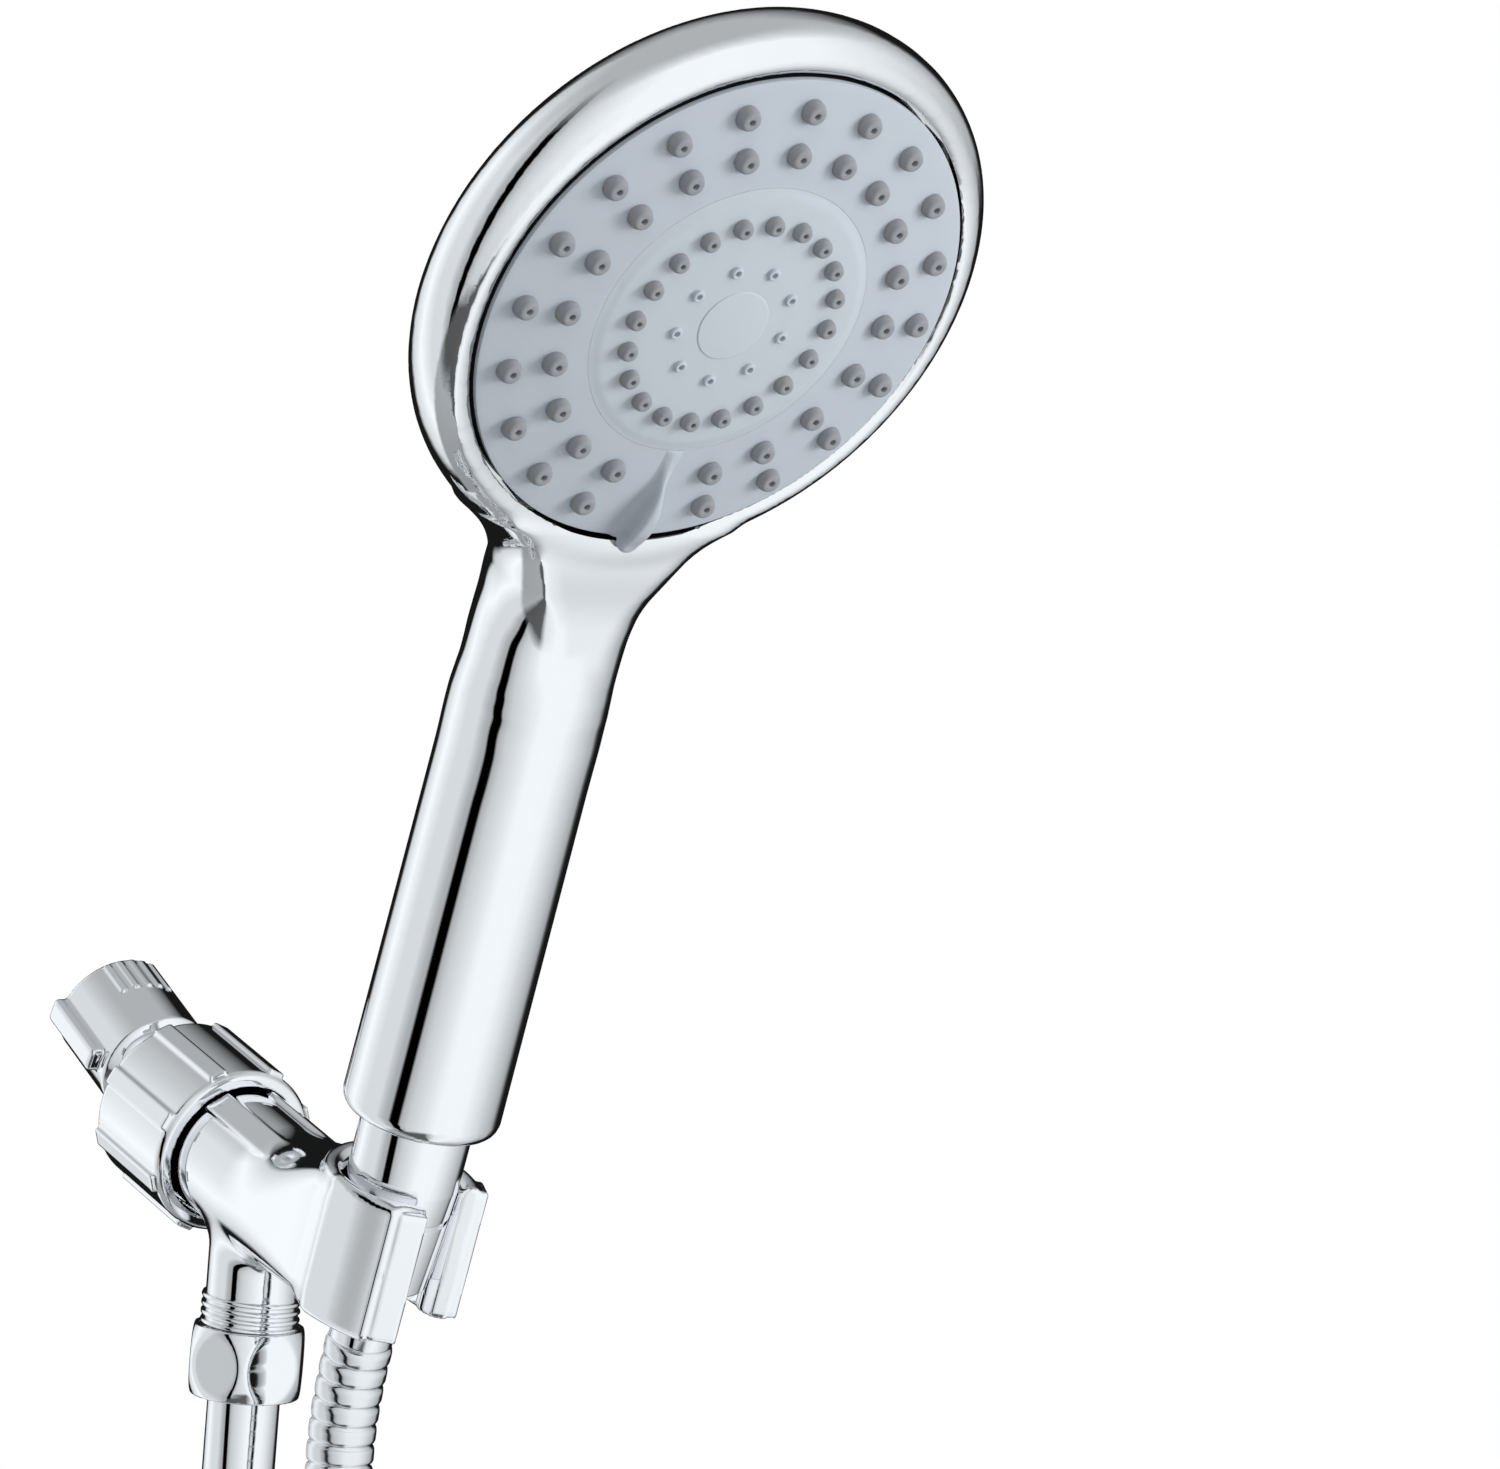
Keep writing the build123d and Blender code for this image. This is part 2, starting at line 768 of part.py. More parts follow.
def face_plate():
    inner = centre_r + seat_gap
    body = turned_outline(
        [
            Line((inner, dome(inner) - plate_wall), (inner, dome(inner))),
            dome_arc(inner, plate_r, 0),
            Line((plate_r, 0), (plate_r, -plate_skirt)),
            Line((plate_r, -plate_skirt), (skirt_in, -plate_skirt)),
            Line((skirt_in, -plate_skirt), (skirt_in, dome(skirt_in) - plate_wall)),
            dome_arc(inner, skirt_in, -plate_wall),
        ]
    )
    body += lever()
    hole = rod(nozzle_r + running_gap, -plate_skirt, plate_crown + 1)
    for angle in outer_angles():
        for radius in (outer_ring_r, second_ring_r):
            body -= around(radius, angle) * hole
    return body


def nozzle(base_r, tip_r, low, high):
    """Rubber nozzle: a straight stem with a tapered tip."""
    shoulder = high - nozzle_height
    return turned((0, low), (base_r, low), (base_r, shoulder), (tip_r, high), (0, high))


def outer_nozzles():
    floor = dome(outer_ring_r + nozzle_r) - plate_wall - mat_drop
    body = ring(outer_ring_r + 1.3 * nozzle_r, second_ring_r - 1.3 * nozzle_r, floor - mat_wall, floor)
    for angle in outer_angles():
        for radius in (outer_ring_r, second_ring_r):
            body += around(radius, angle) * nozzle(nozzle_r, nozzle_tip_r, floor, dome(radius) + nozzle_height)
    return body


def centre_plate():
    rise = centre_step
    body = turned_outline(
        [
            Line((0, plate_crown + rise - plate_wall), (0, plate_crown + rise)),
            dome_arc(0, centre_r, rise),
            Line((centre_r, dome(centre_r) + rise), (centre_r, dome(centre_r) - plate_wall + rise)),
            dome_arc(0, centre_r, rise - plate_wall),
        ]
    )
    hole = rod(small_nozzle_r + running_gap, -plate_wall, plate_crown + 1)
    for angle in inner_angles():
        body -= around(inner_ring_r, angle) * hole
    for index in range(jet_count):
        place = around(jet_ring_r, 90 + index * 360 / jet_count)
        top = dome(jet_ring_r) + rise
        body += place * rod(jet_collar_r, top - 1, top + jet_collar_height)
        body -= place * rod(jet_r, -plate_wall, plate_crown + 2)
    body -= rod(cap_r + seat_gap, plate_crown + rise - cap_recess, plate_crown + 1)
    body -= rod(pivot_head_r + seat_gap, -plate_wall, plate_crown + 1)
    return body


def inner_nozzles():
    floor = dome(inner_ring_r + small_nozzle_r) + centre_step - plate_wall - mat_drop
    edge = 1.6 * small_nozzle_r
    body = ring(inner_ring_r + edge, inner_ring_r - edge, floor - mat_wall, floor)
    for angle in inner_angles():
        top = dome(inner_ring_r) + centre_step + nozzle_height * 0.8
        body += around(inner_ring_r, angle) * nozzle(small_nozzle_r, small_tip_r, floor, top)
    return body


def centre_cap():
    low = plate_crown + centre_step - cap_recess + running_gap
    return rod(cap_r, low, low + cap_wall)


# Hose route: the upper run leaves the ferrule, the return run comes up to the sleeve
def coil_point(turn):
    """Place and heading on the coil after a number of turns from its left side, going down."""
    angle = 2 * pi * turn
    place = Vector(-coil_r * cos(angle), coil_front + coil_pitch * turn, coil_height - coil_r * sin(angle))
    going = Vector(coil_r * sin(angle), coil_pitch / (2 * pi), -coil_r * cos(angle))
    return place, going.normalized()


def side_step(entry, going, side, start_y):
    """Corners of the bend that carries a hose from the middle out to where it enters the coil."""
    turn = acos(1 - coil_r / (2 * bend_r))
    run = 2 * bend_r * tan(turn / 4)
    last = entry - going * run
    shallow = (run * sin(turn / 2), run * cos(turn / 2))
    steep = (run * sin(turn), run * cos(turn))
    offsets = [
        (shallow[0] + steep[0] + shallow[0], shallow[1] + steep[1] + shallow[1]),
        (shallow[0] + steep[0], shallow[1] + steep[1]),
        (shallow[0], shallow[1]),
    ]
    corners = []
    for inward, up in offsets:
        share = up / offsets[0][1]
        level_y = last.Y + (start_y - last.Y) * share
        corners.append(Vector(last.X - side * inward, level_y, last.Z + up))
    return corners + [last, entry]


coil_first, coil_first_dir = coil_point(0)
coil_last, coil_last_dir = coil_point(coil_turns)
upper_start = handle_base - handle_up * (cone_length + ferrule_length)
upper_turn = upper_start - handle_up * upper_run
upper_low = upper_turn + Vector(0, upper_ease, -upper_drop)
upper_entry = coil_first - coil_first_dir * straight_end
return_start = outlet_start + outlet_down * (hex_end + sleeve_length)
return_turn = return_start + outlet_down * straight_end
return_entry = coil_last + coil_last_dir * straight_end
upper_route = [upper_start, upper_turn, upper_low]
upper_route += side_step(upper_entry, coil_first_dir, -1, upper_low.Y)
return_route = [return_start, return_turn]
return_route += side_step(return_entry, coil_last_dir * -1, 1, return_turn.Y + return_ease)


def hose_path(points):
    """Straight runs joined by arcs as large as the runs allow."""
    points = [Vector(p) for p in points]
    runs = [b - a for a, b in zip(points, points[1:])]
    radii = []
    for before, after in zip(runs, runs[1:]):
        half_turn = radians(before.get_angle(after)) / 2
        radii.append(0.45 * min(before.length, after.length) / tan(half_turn))
    print("hose radii", [round(r, 1) for r in radii])
    return FilletPolyline(*points, radius=radii)


def ribbed_hose(points):
    """Ribbed tube along a path, bore included."""
    path = hose_path(points)
    length = path.length
    count = round(length / rib_pitch)
    pitch = length / count
    stations = []
    for index in range(count):
        start = index * pitch
        stations.append((start, hose_root_r))
        stations.append((start + rib_groove, hose_root_r))
        stations.append((start + rib_groove + rib_slope, hose_r))
        stations.append((start + pitch - rib_slope, hose_r))
    stations.append((length, hose_root_r))
    sections = []
    for distance, radius in stations:
        share = distance / length
        place = Plane(path.position_at(share), (0, 1, 0), path.tangent_at(share))
        sections.append((place * Circle(radius)).face())
    bore = sweep(Plane(path @ 0, (0, 1, 0), path % 0) * Circle(hose_bore_r), path)
    return loft(sections, ruled=True) - bore


def biarc(start, start_dir, end, end_dir):
    """Two tangent arcs from one point and heading to another."""
    gap = end - start
    both = start_dir + end_dir
    spare = 2 * (1 - start_dir.dot(end_dir))
    reach = (-gap.dot(both) + sqrt(gap.dot(both) ** 2 + spare * gap.dot(gap))) / spare
    joint = (start + start_dir * reach + end - end_dir * reach) * 0.5
    first = Edge.make_tangent_arc(start, start_dir, joint)
    return [first, Edge.make_tangent_arc(joint, first % 1, end)]


def hose_coil():
    quarters = round(4 * coil_turns)
    marks = [coil_point(index / 4) for index in range(quarters + 1)]
    first, first_dir = marks[0]
    last, last_dir = marks[-1]
    edges = [Line(first - first_dir * straight_end, first)]
    for (start, start_dir), (end, end_dir) in zip(marks, marks[1:]):
        edges += biarc(start, start_dir, end, end_dir)
    edges.append(Line(last, last + last_dir * straight_end))
    path = Wire(edges)
    section = Plane(path @ 0, (0, 1, 0), path % 0) * (Circle(hose_r) - Circle(hose_bore_r))
    tube = sweep(section, path)
    steps = [path.position_at(index / 400) for index in range(401)]
    near = round(400 * 0.5 * pi * coil_r / path.length)
    least = min((a - b).length for i, a in enumerate(steps) for b in steps[i + near:])
    print("coil gap", round(least - 2 * hose_r, 2), "coil length", round(path.length, 1))
    return tube


def hose_ties():
    """Bands that hold the coil's turns together, at its bottom and at its top."""
    inner = hose_r + tie_gap
    bands = []
    for first, last, side in ((0.25, coil_turns - 0.25, -1), (0.75, coil_turns - 0.75, 1)):
        middle_y = coil_front + coil_pitch * (first + last) / 2
        reach = coil_pitch * (last - first)
        outline = SlotCenterToCenter(reach, 2 * (inner + tie_wall)) - SlotCenterToCenter(reach, 2 * inner)
        place = Plane((-tie_width / 2, middle_y, coil_height + side * coil_r), (0, 1, 0), (1, 0, 0))
        bands.append(place * extrude(outline, tie_width))
    return Compound(bands)


nodes = {
    "ball_adapter": adapter_frame * ball_adapter(),
    "inlet_washer": adapter_frame * inlet_washer(),
    "ball_seal": barrel_frame * ball_seal(),
    "ball_seat": barrel_frame * ball_seat(),
    "coupling_nut": barrel_frame * coupling_nut(),
    "bracket_body": bracket_body(),
    "hex_nut": outlet_frame * hex_nut(),
    "hex_washer": outlet_frame * hex_washer(),
    "lower_tail": outlet_frame * lower_tail(),
    "crimp_sleeve": outlet_frame * crimp_sleeve(),
    "cone_nut": handle_frame * cone_nut(),
    "cone_washer": handle_frame * cone_washer(),
    "upper_tail": handle_frame * upper_tail(),
    "upper_ferrule": handle_frame * upper_ferrule(),
    "hose_upper": ribbed_hose(upper_route),
    "hose_return": ribbed_hose(return_route),
    "hose_coil": hose_coil(),
    "hose_ties": hose_ties(),
    "handle_shell": handle_shell(),
    "inlet_nipple": handle_frame * inlet_nipple(),
    "filter_washer": handle_frame * filter_washer(),
    "flow_restrictor": handle_frame * flow_restrictor(),
    "restrictor_ring": handle_frame * restrictor_ring(),
    "water_tube": handle_frame * water_tube(),
    "tube_ring": handle_frame * tube_ring(),
    "head_core": face_frame * head_core(),
    "core_screws": face_frame * core_screws(),
    "seat_gasket": face_frame * seat_gasket(),
    "detent_ball": face_frame * detent_ball(),
    "detent_spring": face_frame * detent_spring(),
    "pivot_screw": face_frame * pivot_screw(),
    "selector_disc": face_frame * selector_disc(),
    "spray_chamber": face_frame * spray_chamber(),
    "face_plate": face_frame * face_plate(),
    "centre_plate": face_frame * centre_plate(),
    "outer_nozzles": face_frame * outer_nozzles(),
    "inner_nozzles": face_frame * inner_nozzles(),
    "centre_cap": face_frame * centre_cap(),
}

os.makedirs("parts", exist_ok=True)
for name, solid in nodes.items():
    export_step(solid, f"parts/{name}.step")
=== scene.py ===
"""Looks of a handheld shower in its swivel bracket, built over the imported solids."""

import json
import math

import bmesh
import bpy
import numpy as np
from bpy.props import FloatProperty, FloatVectorProperty, IntProperty, PointerProperty
from bpy.types import Operator, Panel, PropertyGroup
from mathutils import Matrix, Vector
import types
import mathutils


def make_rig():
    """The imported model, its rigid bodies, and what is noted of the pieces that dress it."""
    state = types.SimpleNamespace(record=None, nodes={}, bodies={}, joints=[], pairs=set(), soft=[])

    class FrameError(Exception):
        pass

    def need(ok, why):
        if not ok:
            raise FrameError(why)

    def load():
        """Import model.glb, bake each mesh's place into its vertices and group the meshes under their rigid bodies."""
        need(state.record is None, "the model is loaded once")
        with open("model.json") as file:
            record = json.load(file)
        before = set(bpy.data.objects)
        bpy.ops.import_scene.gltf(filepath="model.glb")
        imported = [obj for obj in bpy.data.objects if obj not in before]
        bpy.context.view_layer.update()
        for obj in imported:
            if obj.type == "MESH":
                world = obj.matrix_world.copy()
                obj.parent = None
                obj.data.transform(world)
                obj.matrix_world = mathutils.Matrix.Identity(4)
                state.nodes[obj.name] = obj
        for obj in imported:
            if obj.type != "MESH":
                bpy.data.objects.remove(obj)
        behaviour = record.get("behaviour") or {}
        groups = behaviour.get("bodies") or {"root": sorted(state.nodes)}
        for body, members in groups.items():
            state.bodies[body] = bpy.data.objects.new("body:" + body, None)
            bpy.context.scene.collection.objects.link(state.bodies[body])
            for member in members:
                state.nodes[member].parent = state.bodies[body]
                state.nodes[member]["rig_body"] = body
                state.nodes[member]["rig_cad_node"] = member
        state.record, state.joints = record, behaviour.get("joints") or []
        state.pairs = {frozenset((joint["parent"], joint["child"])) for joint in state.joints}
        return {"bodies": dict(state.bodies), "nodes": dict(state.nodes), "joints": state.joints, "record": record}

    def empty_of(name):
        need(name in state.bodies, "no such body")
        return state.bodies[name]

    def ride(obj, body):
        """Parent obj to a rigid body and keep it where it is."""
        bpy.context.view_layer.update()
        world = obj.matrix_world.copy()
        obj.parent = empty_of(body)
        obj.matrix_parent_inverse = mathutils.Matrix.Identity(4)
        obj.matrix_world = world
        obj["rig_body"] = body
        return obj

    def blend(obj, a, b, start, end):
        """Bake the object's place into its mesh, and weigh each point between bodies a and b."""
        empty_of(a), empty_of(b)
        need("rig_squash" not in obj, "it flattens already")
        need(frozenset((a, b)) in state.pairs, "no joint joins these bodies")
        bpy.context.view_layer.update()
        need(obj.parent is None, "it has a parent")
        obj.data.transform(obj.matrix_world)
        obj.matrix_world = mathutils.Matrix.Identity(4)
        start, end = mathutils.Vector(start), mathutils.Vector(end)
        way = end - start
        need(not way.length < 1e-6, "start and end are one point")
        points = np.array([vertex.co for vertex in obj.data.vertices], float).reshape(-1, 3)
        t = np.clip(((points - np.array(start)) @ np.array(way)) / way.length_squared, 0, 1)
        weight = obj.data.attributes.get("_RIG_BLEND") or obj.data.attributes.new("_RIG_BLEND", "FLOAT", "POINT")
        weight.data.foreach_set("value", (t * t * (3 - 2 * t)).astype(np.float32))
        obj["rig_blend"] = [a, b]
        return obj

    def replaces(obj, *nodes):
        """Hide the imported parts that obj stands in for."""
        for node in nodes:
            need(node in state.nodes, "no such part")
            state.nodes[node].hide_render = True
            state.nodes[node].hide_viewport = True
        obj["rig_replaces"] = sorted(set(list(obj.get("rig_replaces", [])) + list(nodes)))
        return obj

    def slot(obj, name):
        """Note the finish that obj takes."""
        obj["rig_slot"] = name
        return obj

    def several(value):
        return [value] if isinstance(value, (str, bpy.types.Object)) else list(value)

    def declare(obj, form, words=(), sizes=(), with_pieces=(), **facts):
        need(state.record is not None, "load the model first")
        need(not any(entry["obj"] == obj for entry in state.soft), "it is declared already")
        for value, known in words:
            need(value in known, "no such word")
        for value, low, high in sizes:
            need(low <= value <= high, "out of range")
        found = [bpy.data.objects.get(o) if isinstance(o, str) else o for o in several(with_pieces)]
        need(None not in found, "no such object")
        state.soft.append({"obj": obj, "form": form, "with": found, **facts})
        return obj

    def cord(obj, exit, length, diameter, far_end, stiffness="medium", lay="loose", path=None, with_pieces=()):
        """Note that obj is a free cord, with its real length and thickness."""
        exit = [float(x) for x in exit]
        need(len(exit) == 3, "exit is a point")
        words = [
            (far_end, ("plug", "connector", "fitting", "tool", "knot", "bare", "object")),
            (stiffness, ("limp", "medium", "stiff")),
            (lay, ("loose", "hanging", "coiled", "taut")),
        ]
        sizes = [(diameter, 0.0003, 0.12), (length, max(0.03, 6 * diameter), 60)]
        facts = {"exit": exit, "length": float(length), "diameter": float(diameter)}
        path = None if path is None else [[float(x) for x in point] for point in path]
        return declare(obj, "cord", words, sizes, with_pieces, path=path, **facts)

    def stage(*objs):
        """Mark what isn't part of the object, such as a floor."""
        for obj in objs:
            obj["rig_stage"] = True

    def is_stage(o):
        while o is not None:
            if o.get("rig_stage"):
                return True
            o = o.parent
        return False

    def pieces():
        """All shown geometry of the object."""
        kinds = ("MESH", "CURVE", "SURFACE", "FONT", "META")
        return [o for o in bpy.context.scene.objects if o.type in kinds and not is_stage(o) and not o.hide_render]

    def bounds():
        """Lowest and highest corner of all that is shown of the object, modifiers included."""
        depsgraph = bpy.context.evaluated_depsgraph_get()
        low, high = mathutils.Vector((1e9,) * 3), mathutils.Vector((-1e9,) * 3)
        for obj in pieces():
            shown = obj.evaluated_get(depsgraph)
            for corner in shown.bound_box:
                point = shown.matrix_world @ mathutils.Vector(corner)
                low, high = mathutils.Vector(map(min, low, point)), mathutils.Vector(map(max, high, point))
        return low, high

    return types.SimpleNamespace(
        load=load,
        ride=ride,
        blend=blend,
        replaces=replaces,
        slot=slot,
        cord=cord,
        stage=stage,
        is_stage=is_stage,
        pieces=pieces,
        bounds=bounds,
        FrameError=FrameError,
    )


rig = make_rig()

bl_info = {
    "name": "Hand shower looks",
    "version": (1, 0, 0),
    "blender": (4, 5, 0),
    "location": "View3D > Sidebar > Shower",
    "description": "Chrome shell, spray face, bracket, nuts and hose over the packed solids",
    "category": "Object",
}

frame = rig.load()
solid_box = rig.bounds()
joints = {joint["name"]: joint for joint in frame["joints"]}


# Places


def axis_frame(origin, axis):
    """Matrix of a frame on an axis, with its X along the row's X."""
    z = Vector(axis).normalized()
    x = Vector((1, 0, 0))
    y = z.cross(x)
    matrix = Matrix((x, y, z)).transposed().to_4x4()
    matrix.translation = Vector(origin)
    return matrix


ball_frame = axis_frame(joints["ball_spin"]["pos_m"], joints["ball_spin"]["axis"])
adapter_frame = axis_frame(joints["ball_spin"]["pos_m"], frame["record"]["mounts"][0]["axis"])
outlet_frame = axis_frame(joints["outlet_nut_turn"]["pos_m"], joints["outlet_nut_turn"]["axis"])
handle_frame = axis_frame(joints["handle_swivel"]["pos_m"], joints["handle_swivel"]["axis"])
face_frame = axis_frame(joints["spray_select"]["pos_m"], joints["spray_select"]["axis"])


def between(source, target):
    """Rotation and shift, in millimetres, that take points of one frame into another."""
    matrix = np.array(target.inverted() @ source)
    return matrix[:3, :3], matrix[:3, 3] * 1000


def moved(points, change):
    turn, shift = change
    return points @ turn.T + shift


# Distance fields, in millimetres


def smooth_min(a, b, reach):
    share = np.clip(0.5 + 0.5 * (b - a) / reach, 0, 1)
    return b + (a - b) * share - reach * share * (1 - share)


def smooth_max(a, b, reach):
    return -smooth_min(-a, -b, reach)


def ease(low, high, value):
    share = np.clip((value - low) / (high - low), 0, 1)
    return share * share * (3 - 2 * share)


def outline_distance(points, corners):
    """Signed distance to a form turned about Z, from its closed outline of (radius, height) corners."""
    radius, height = np.hypot(points[:, 0], points[:, 1]), points[:, 2]
    nearest = np.full(radius.shape, np.inf)
    inside = np.zeros(radius.shape, bool)
    ends = corners[1:] + corners[:1]
    for (r0, z0), (r1, z1) in zip(corners, ends):
        dr, dz = r1 - r0, z1 - z0
        along = np.clip(((radius - r0) * dr + (height - z0) * dz) / (dr * dr + dz * dz + 1e-12), 0, 1)
        gap = (radius - r0 - along * dr) ** 2 + (height - z0 - along * dz) ** 2
        nearest = np.minimum(nearest, gap)
        if z0 != z1:
            crosses = (z0 > height) != (z1 > height)
            inside ^= crosses & (radius < r0 + dr * (height - z0) / dz)
    return np.where(inside, -1, 1) * np.sqrt(nearest)


def rounded(a, b, edge):
    """Distance to a rounded corner, from the gaps to its two sides."""
    outside = np.hypot(np.maximum(a, 0), np.maximum(b, 0))
    return outside + np.minimum(np.maximum(a, b), 0) - edge


def rod_distance(points, radius, low, high, edge=0.0):
    """Distance to a round bar along Z with rounded ends."""
    across = np.hypot(points[:, 0], points[:, 1]) - radius + edge
    along = np.abs(points[:, 2] - (low + high) / 2) - (high - low) / 2 + edge
    return rounded(across, along, edge)


def box_distance(points, centre, half, edge):
    """Distance to a box with rounded edges."""
    gap = np.abs(points - np.array(centre)) - (np.array(half) - edge)
    outside = np.linalg.norm(np.maximum(gap, 0), axis=1)
    return outside + np.minimum(gap.max(axis=1), 0) - edge


def turned_by(points, angle):
    """Points seen from a frame turned about Z, angle in degrees."""
    c, s = math.cos(math.radians(angle)), math.sin(math.radians(angle))
    x, y, z = points.T
    return np.stack((c * x + s * y, -s * x + c * y, z), axis=1)


def folded(points, count, phase):
    """Points folded into one sector about +X, for a shape repeated round Z."""
    step = 2 * math.pi / count
    angle = np.arctan2(points[:, 1], points[:, 0]) - math.radians(phase)
    angle = angle - step * np.round(angle / step)
    radius = np.hypot(points[:, 0], points[:, 1])
    return np.stack((radius * np.cos(angle), radius * np.sin(angle), points[:, 2]), axis=1)


def field_values(field, low, counts, step):
    """Field on a grid, worked out finely only near the surface."""
    block = 8
    blocks = -(-counts // block)
    axes = [low[i] + step * (block * np.arange(blocks[i]) + (block - 1) / 2) for i in range(3)]
    centres = np.stack(np.meshgrid(*axes, indexing="ij"), axis=-1).reshape(-1, 3)
    rough = field(centres)
    values = rough.reshape(blocks)
    for axis in range(3):
        values = np.repeat(values, block, axis=axis)
    near = np.argwhere((np.abs(rough) < 1.3 * block * step).reshape(blocks))
    steps = np.stack(np.meshgrid(*[np.arange(block)] * 3, indexing="ij"), axis=-1).reshape(-1, 3)
    for chunk in np.array_split(near, max(1, len(near) // 400)):
        spots = (chunk[:, None, :] * block + steps[None]).reshape(-1, 3)
        values[tuple(spots.T)] = field(low + step * spots)
    return values


def net_surface(values):
    """Vertices in grid steps and quads of the zero surface of a grid of values."""
    inside = values < 0
    corner = [slice(0, -1), slice(1, None)]
    total = np.zeros(tuple(n - 1 for n in values.shape) + (3,), np.float32)
    hits = np.zeros(total.shape[:3], np.float32)
    for axis in range(3):
        others = [other for other in range(3) if other != axis]
        for sides in np.ndindex(2, 2):
            start = [None] * 3
            end = [None] * 3
            start[axis], end[axis] = corner
            for other, side in zip(others, sides):
                start[other] = end[other] = corner[side]
            a, b = values[tuple(start)], values[tuple(end)]
            cut = inside[tuple(start)] != inside[tuple(end)]
            share = np.where(cut, a / np.where(cut, a - b, 1), 0)
            hits += cut
            total[..., axis] += share
            for other, side in zip(others, sides):
                total[..., other] += cut * side
    active = hits > 0
    index = np.full(active.shape, -1)
    index[active] = np.arange(active.sum())
    points = np.argwhere(active) + total[active] / hits[active][:, None]
    quads = []
    for axis in range(3):
        u, v = (axis + 1) % 3, (axis + 2) % 3
        start = [slice(1, -1)] * 3
        end = [slice(1, -1)] * 3
        start[axis], end[axis] = corner
        change = inside[tuple(start)].astype(int) - inside[tuple(end)]
        spots = np.argwhere(change != 0)
        offset = np.array([1, 1, 1])
        offset[axis] = 0
        spots = spots + offset
        flip = change[change != 0] < 0
        ring = []
        for du, dv in ((-1, -1), (0, -1), (0, 0), (-1, 0)):
            spot = spots.copy()
            spot[:, u] += du
            spot[:, v] += dv
            ring.append(index[tuple(spot.T)])
        ring = np.stack(ring, axis=1)
        ring[flip] = ring[flip][:, ::-1]
        quads.append(ring)
    return points, np.concatenate(quads)


def settled(points, field, step):
    """Points moved on to the zero surface of a field."""
    small = 0.02
    for _ in range(4):
        changes = [field(points + small * unit) - field(points - small * unit) for unit in np.eye(3)]
        slope = np.stack(changes, axis=1) / (2 * small)
        size = np.maximum((slope ** 2).sum(axis=1), 0.05)
        shift = np.clip(field(points) / size, -step, step)
        points = points - shift[:, None] * slope
    return points


def new_piece(name, mesh):
    piece = bpy.data.objects.new(name, mesh)
    bpy.context.scene.collection.objects.link(piece)
    return piece


def mesh_from(name, points, faces, place):
    """Mesh from points in millimetres of a frame, placed in the row's frame."""
    matrix = np.array(place)
    world = points * 0.001 @ matrix[:3, :3].T + matrix[:3, 3]
    mesh = bpy.data.meshes.new(name)
    if isinstance(faces, np.ndarray):
        faces = faces.tolist()
    mesh.from_pydata(world.tolist(), [], faces)
    mesh.update()
    mesh.shade_smooth()
    return mesh


def moulded(name, field, low, high, step, place):
    """Piece whose surface is where a field of a frame is zero."""
    low = np.array(low, float)
    counts = np.ceil((np.array(high, float) - low) / step).astype(int) + 1
    points, quads = net_surface(field_values(field, low, counts, step))
    points = settled(low + step * points, field, step)
    return new_piece(name, mesh_from(name, points, quads, place))


def softened(corners, radius=0, steps=5):
    """Outline with its corners rounded, each by its third value or else by the given radius."""
    result = []
    for index, corner in enumerate(corners):
        here = np.array(corner[:2], float)
        size = corner[2] if len(corner) > 2 else radius
        if size <= 0:
            result.append(tuple(here))
            continue
        before = np.array(corners[index - 1][:2], float) - here
        after = np.array(corners[(index + 1) % len(corners)][:2], float) - here
        reach_before, reach_after = np.linalg.norm(before), np.linalg.norm(after)
        before, after = before / reach_before, after / reach_after
        angle = math.acos(np.clip(before @ after, -1, 1))
        reach = min(size / math.tan(angle / 2), 0.48 * reach_before, 0.48 * reach_after)
        for share in np.linspace(0, 1, steps):
            a = here + before * reach * (1 - share)
            b = here + after * reach * share
            result.append(tuple(a + (b - a) * share))
    return result


def lathed(name, outline, place, segments=160):
    """Piece turned about a frame's Z from a closed outline of (radius, height) in millimetres."""
    points = []
    rings = []
    for radius, height in outline:
        if radius < 1e-6:
            rings.append([len(points)] * segments)
            points.append((0, 0, height))
            continue
        rings.append(list(range(len(points), len(points) + segments)))
        for index in range(segments):
            angle = 2 * math.pi * index / segments
            points.append((radius * math.cos(angle), radius * math.sin(angle), height))
    faces = []
    for ring, after in zip(rings, rings[1:] + rings[:1]):
        for index in range(segments):
            following = (index + 1) % segments
            corners = [ring[index], ring[following], after[following], after[index]]
            unique = list(dict.fromkeys(corners))
            if len(unique) > 2:
                faces.append(unique)
    mesh = mesh_from(name, np.array(points), faces, place)
    shape = bmesh.new()
    shape.from_mesh(mesh)
    bmesh.ops.recalc_face_normals(shape, faces=shape.faces)
    shape.to_mesh(mesh)
    shape.free()
    mesh.shade_smooth()
    mesh.set_sharp_from_angle(angle=math.radians(40))
    return new_piece(name, mesh)


def painted(piece, finish):
    piece.data.materials.clear()
    piece.data.materials.append(finish_named(finish))


def finished(piece, body, slot, finish, *nodes):
    """Piece given its finish, its body, its slot and the solids that it stands for."""
    painted(piece, finish)
    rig.ride(piece, body)
    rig.slot(piece, slot)
    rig.replaces(piece, *nodes)


# Nodes


def feed(tree, socket, value):
    """Gives a socket a plain value, or links another socket to it."""
    if isinstance(value, bpy.types.NodeSocket):
        tree.links.new(value, socket)
    else:
        socket.default_value = value


def add_node(tree, kind, settings=None, **values):
    """Node with its settings, and with values or links for its sockets by name."""
    node = tree.nodes.new(kind)
    for label, value in (settings or {}).items():
        setattr(node, label, value)
    for label, value in values.items():
        feed(tree, node.inputs[label.replace("_", " ")], value)
    return node


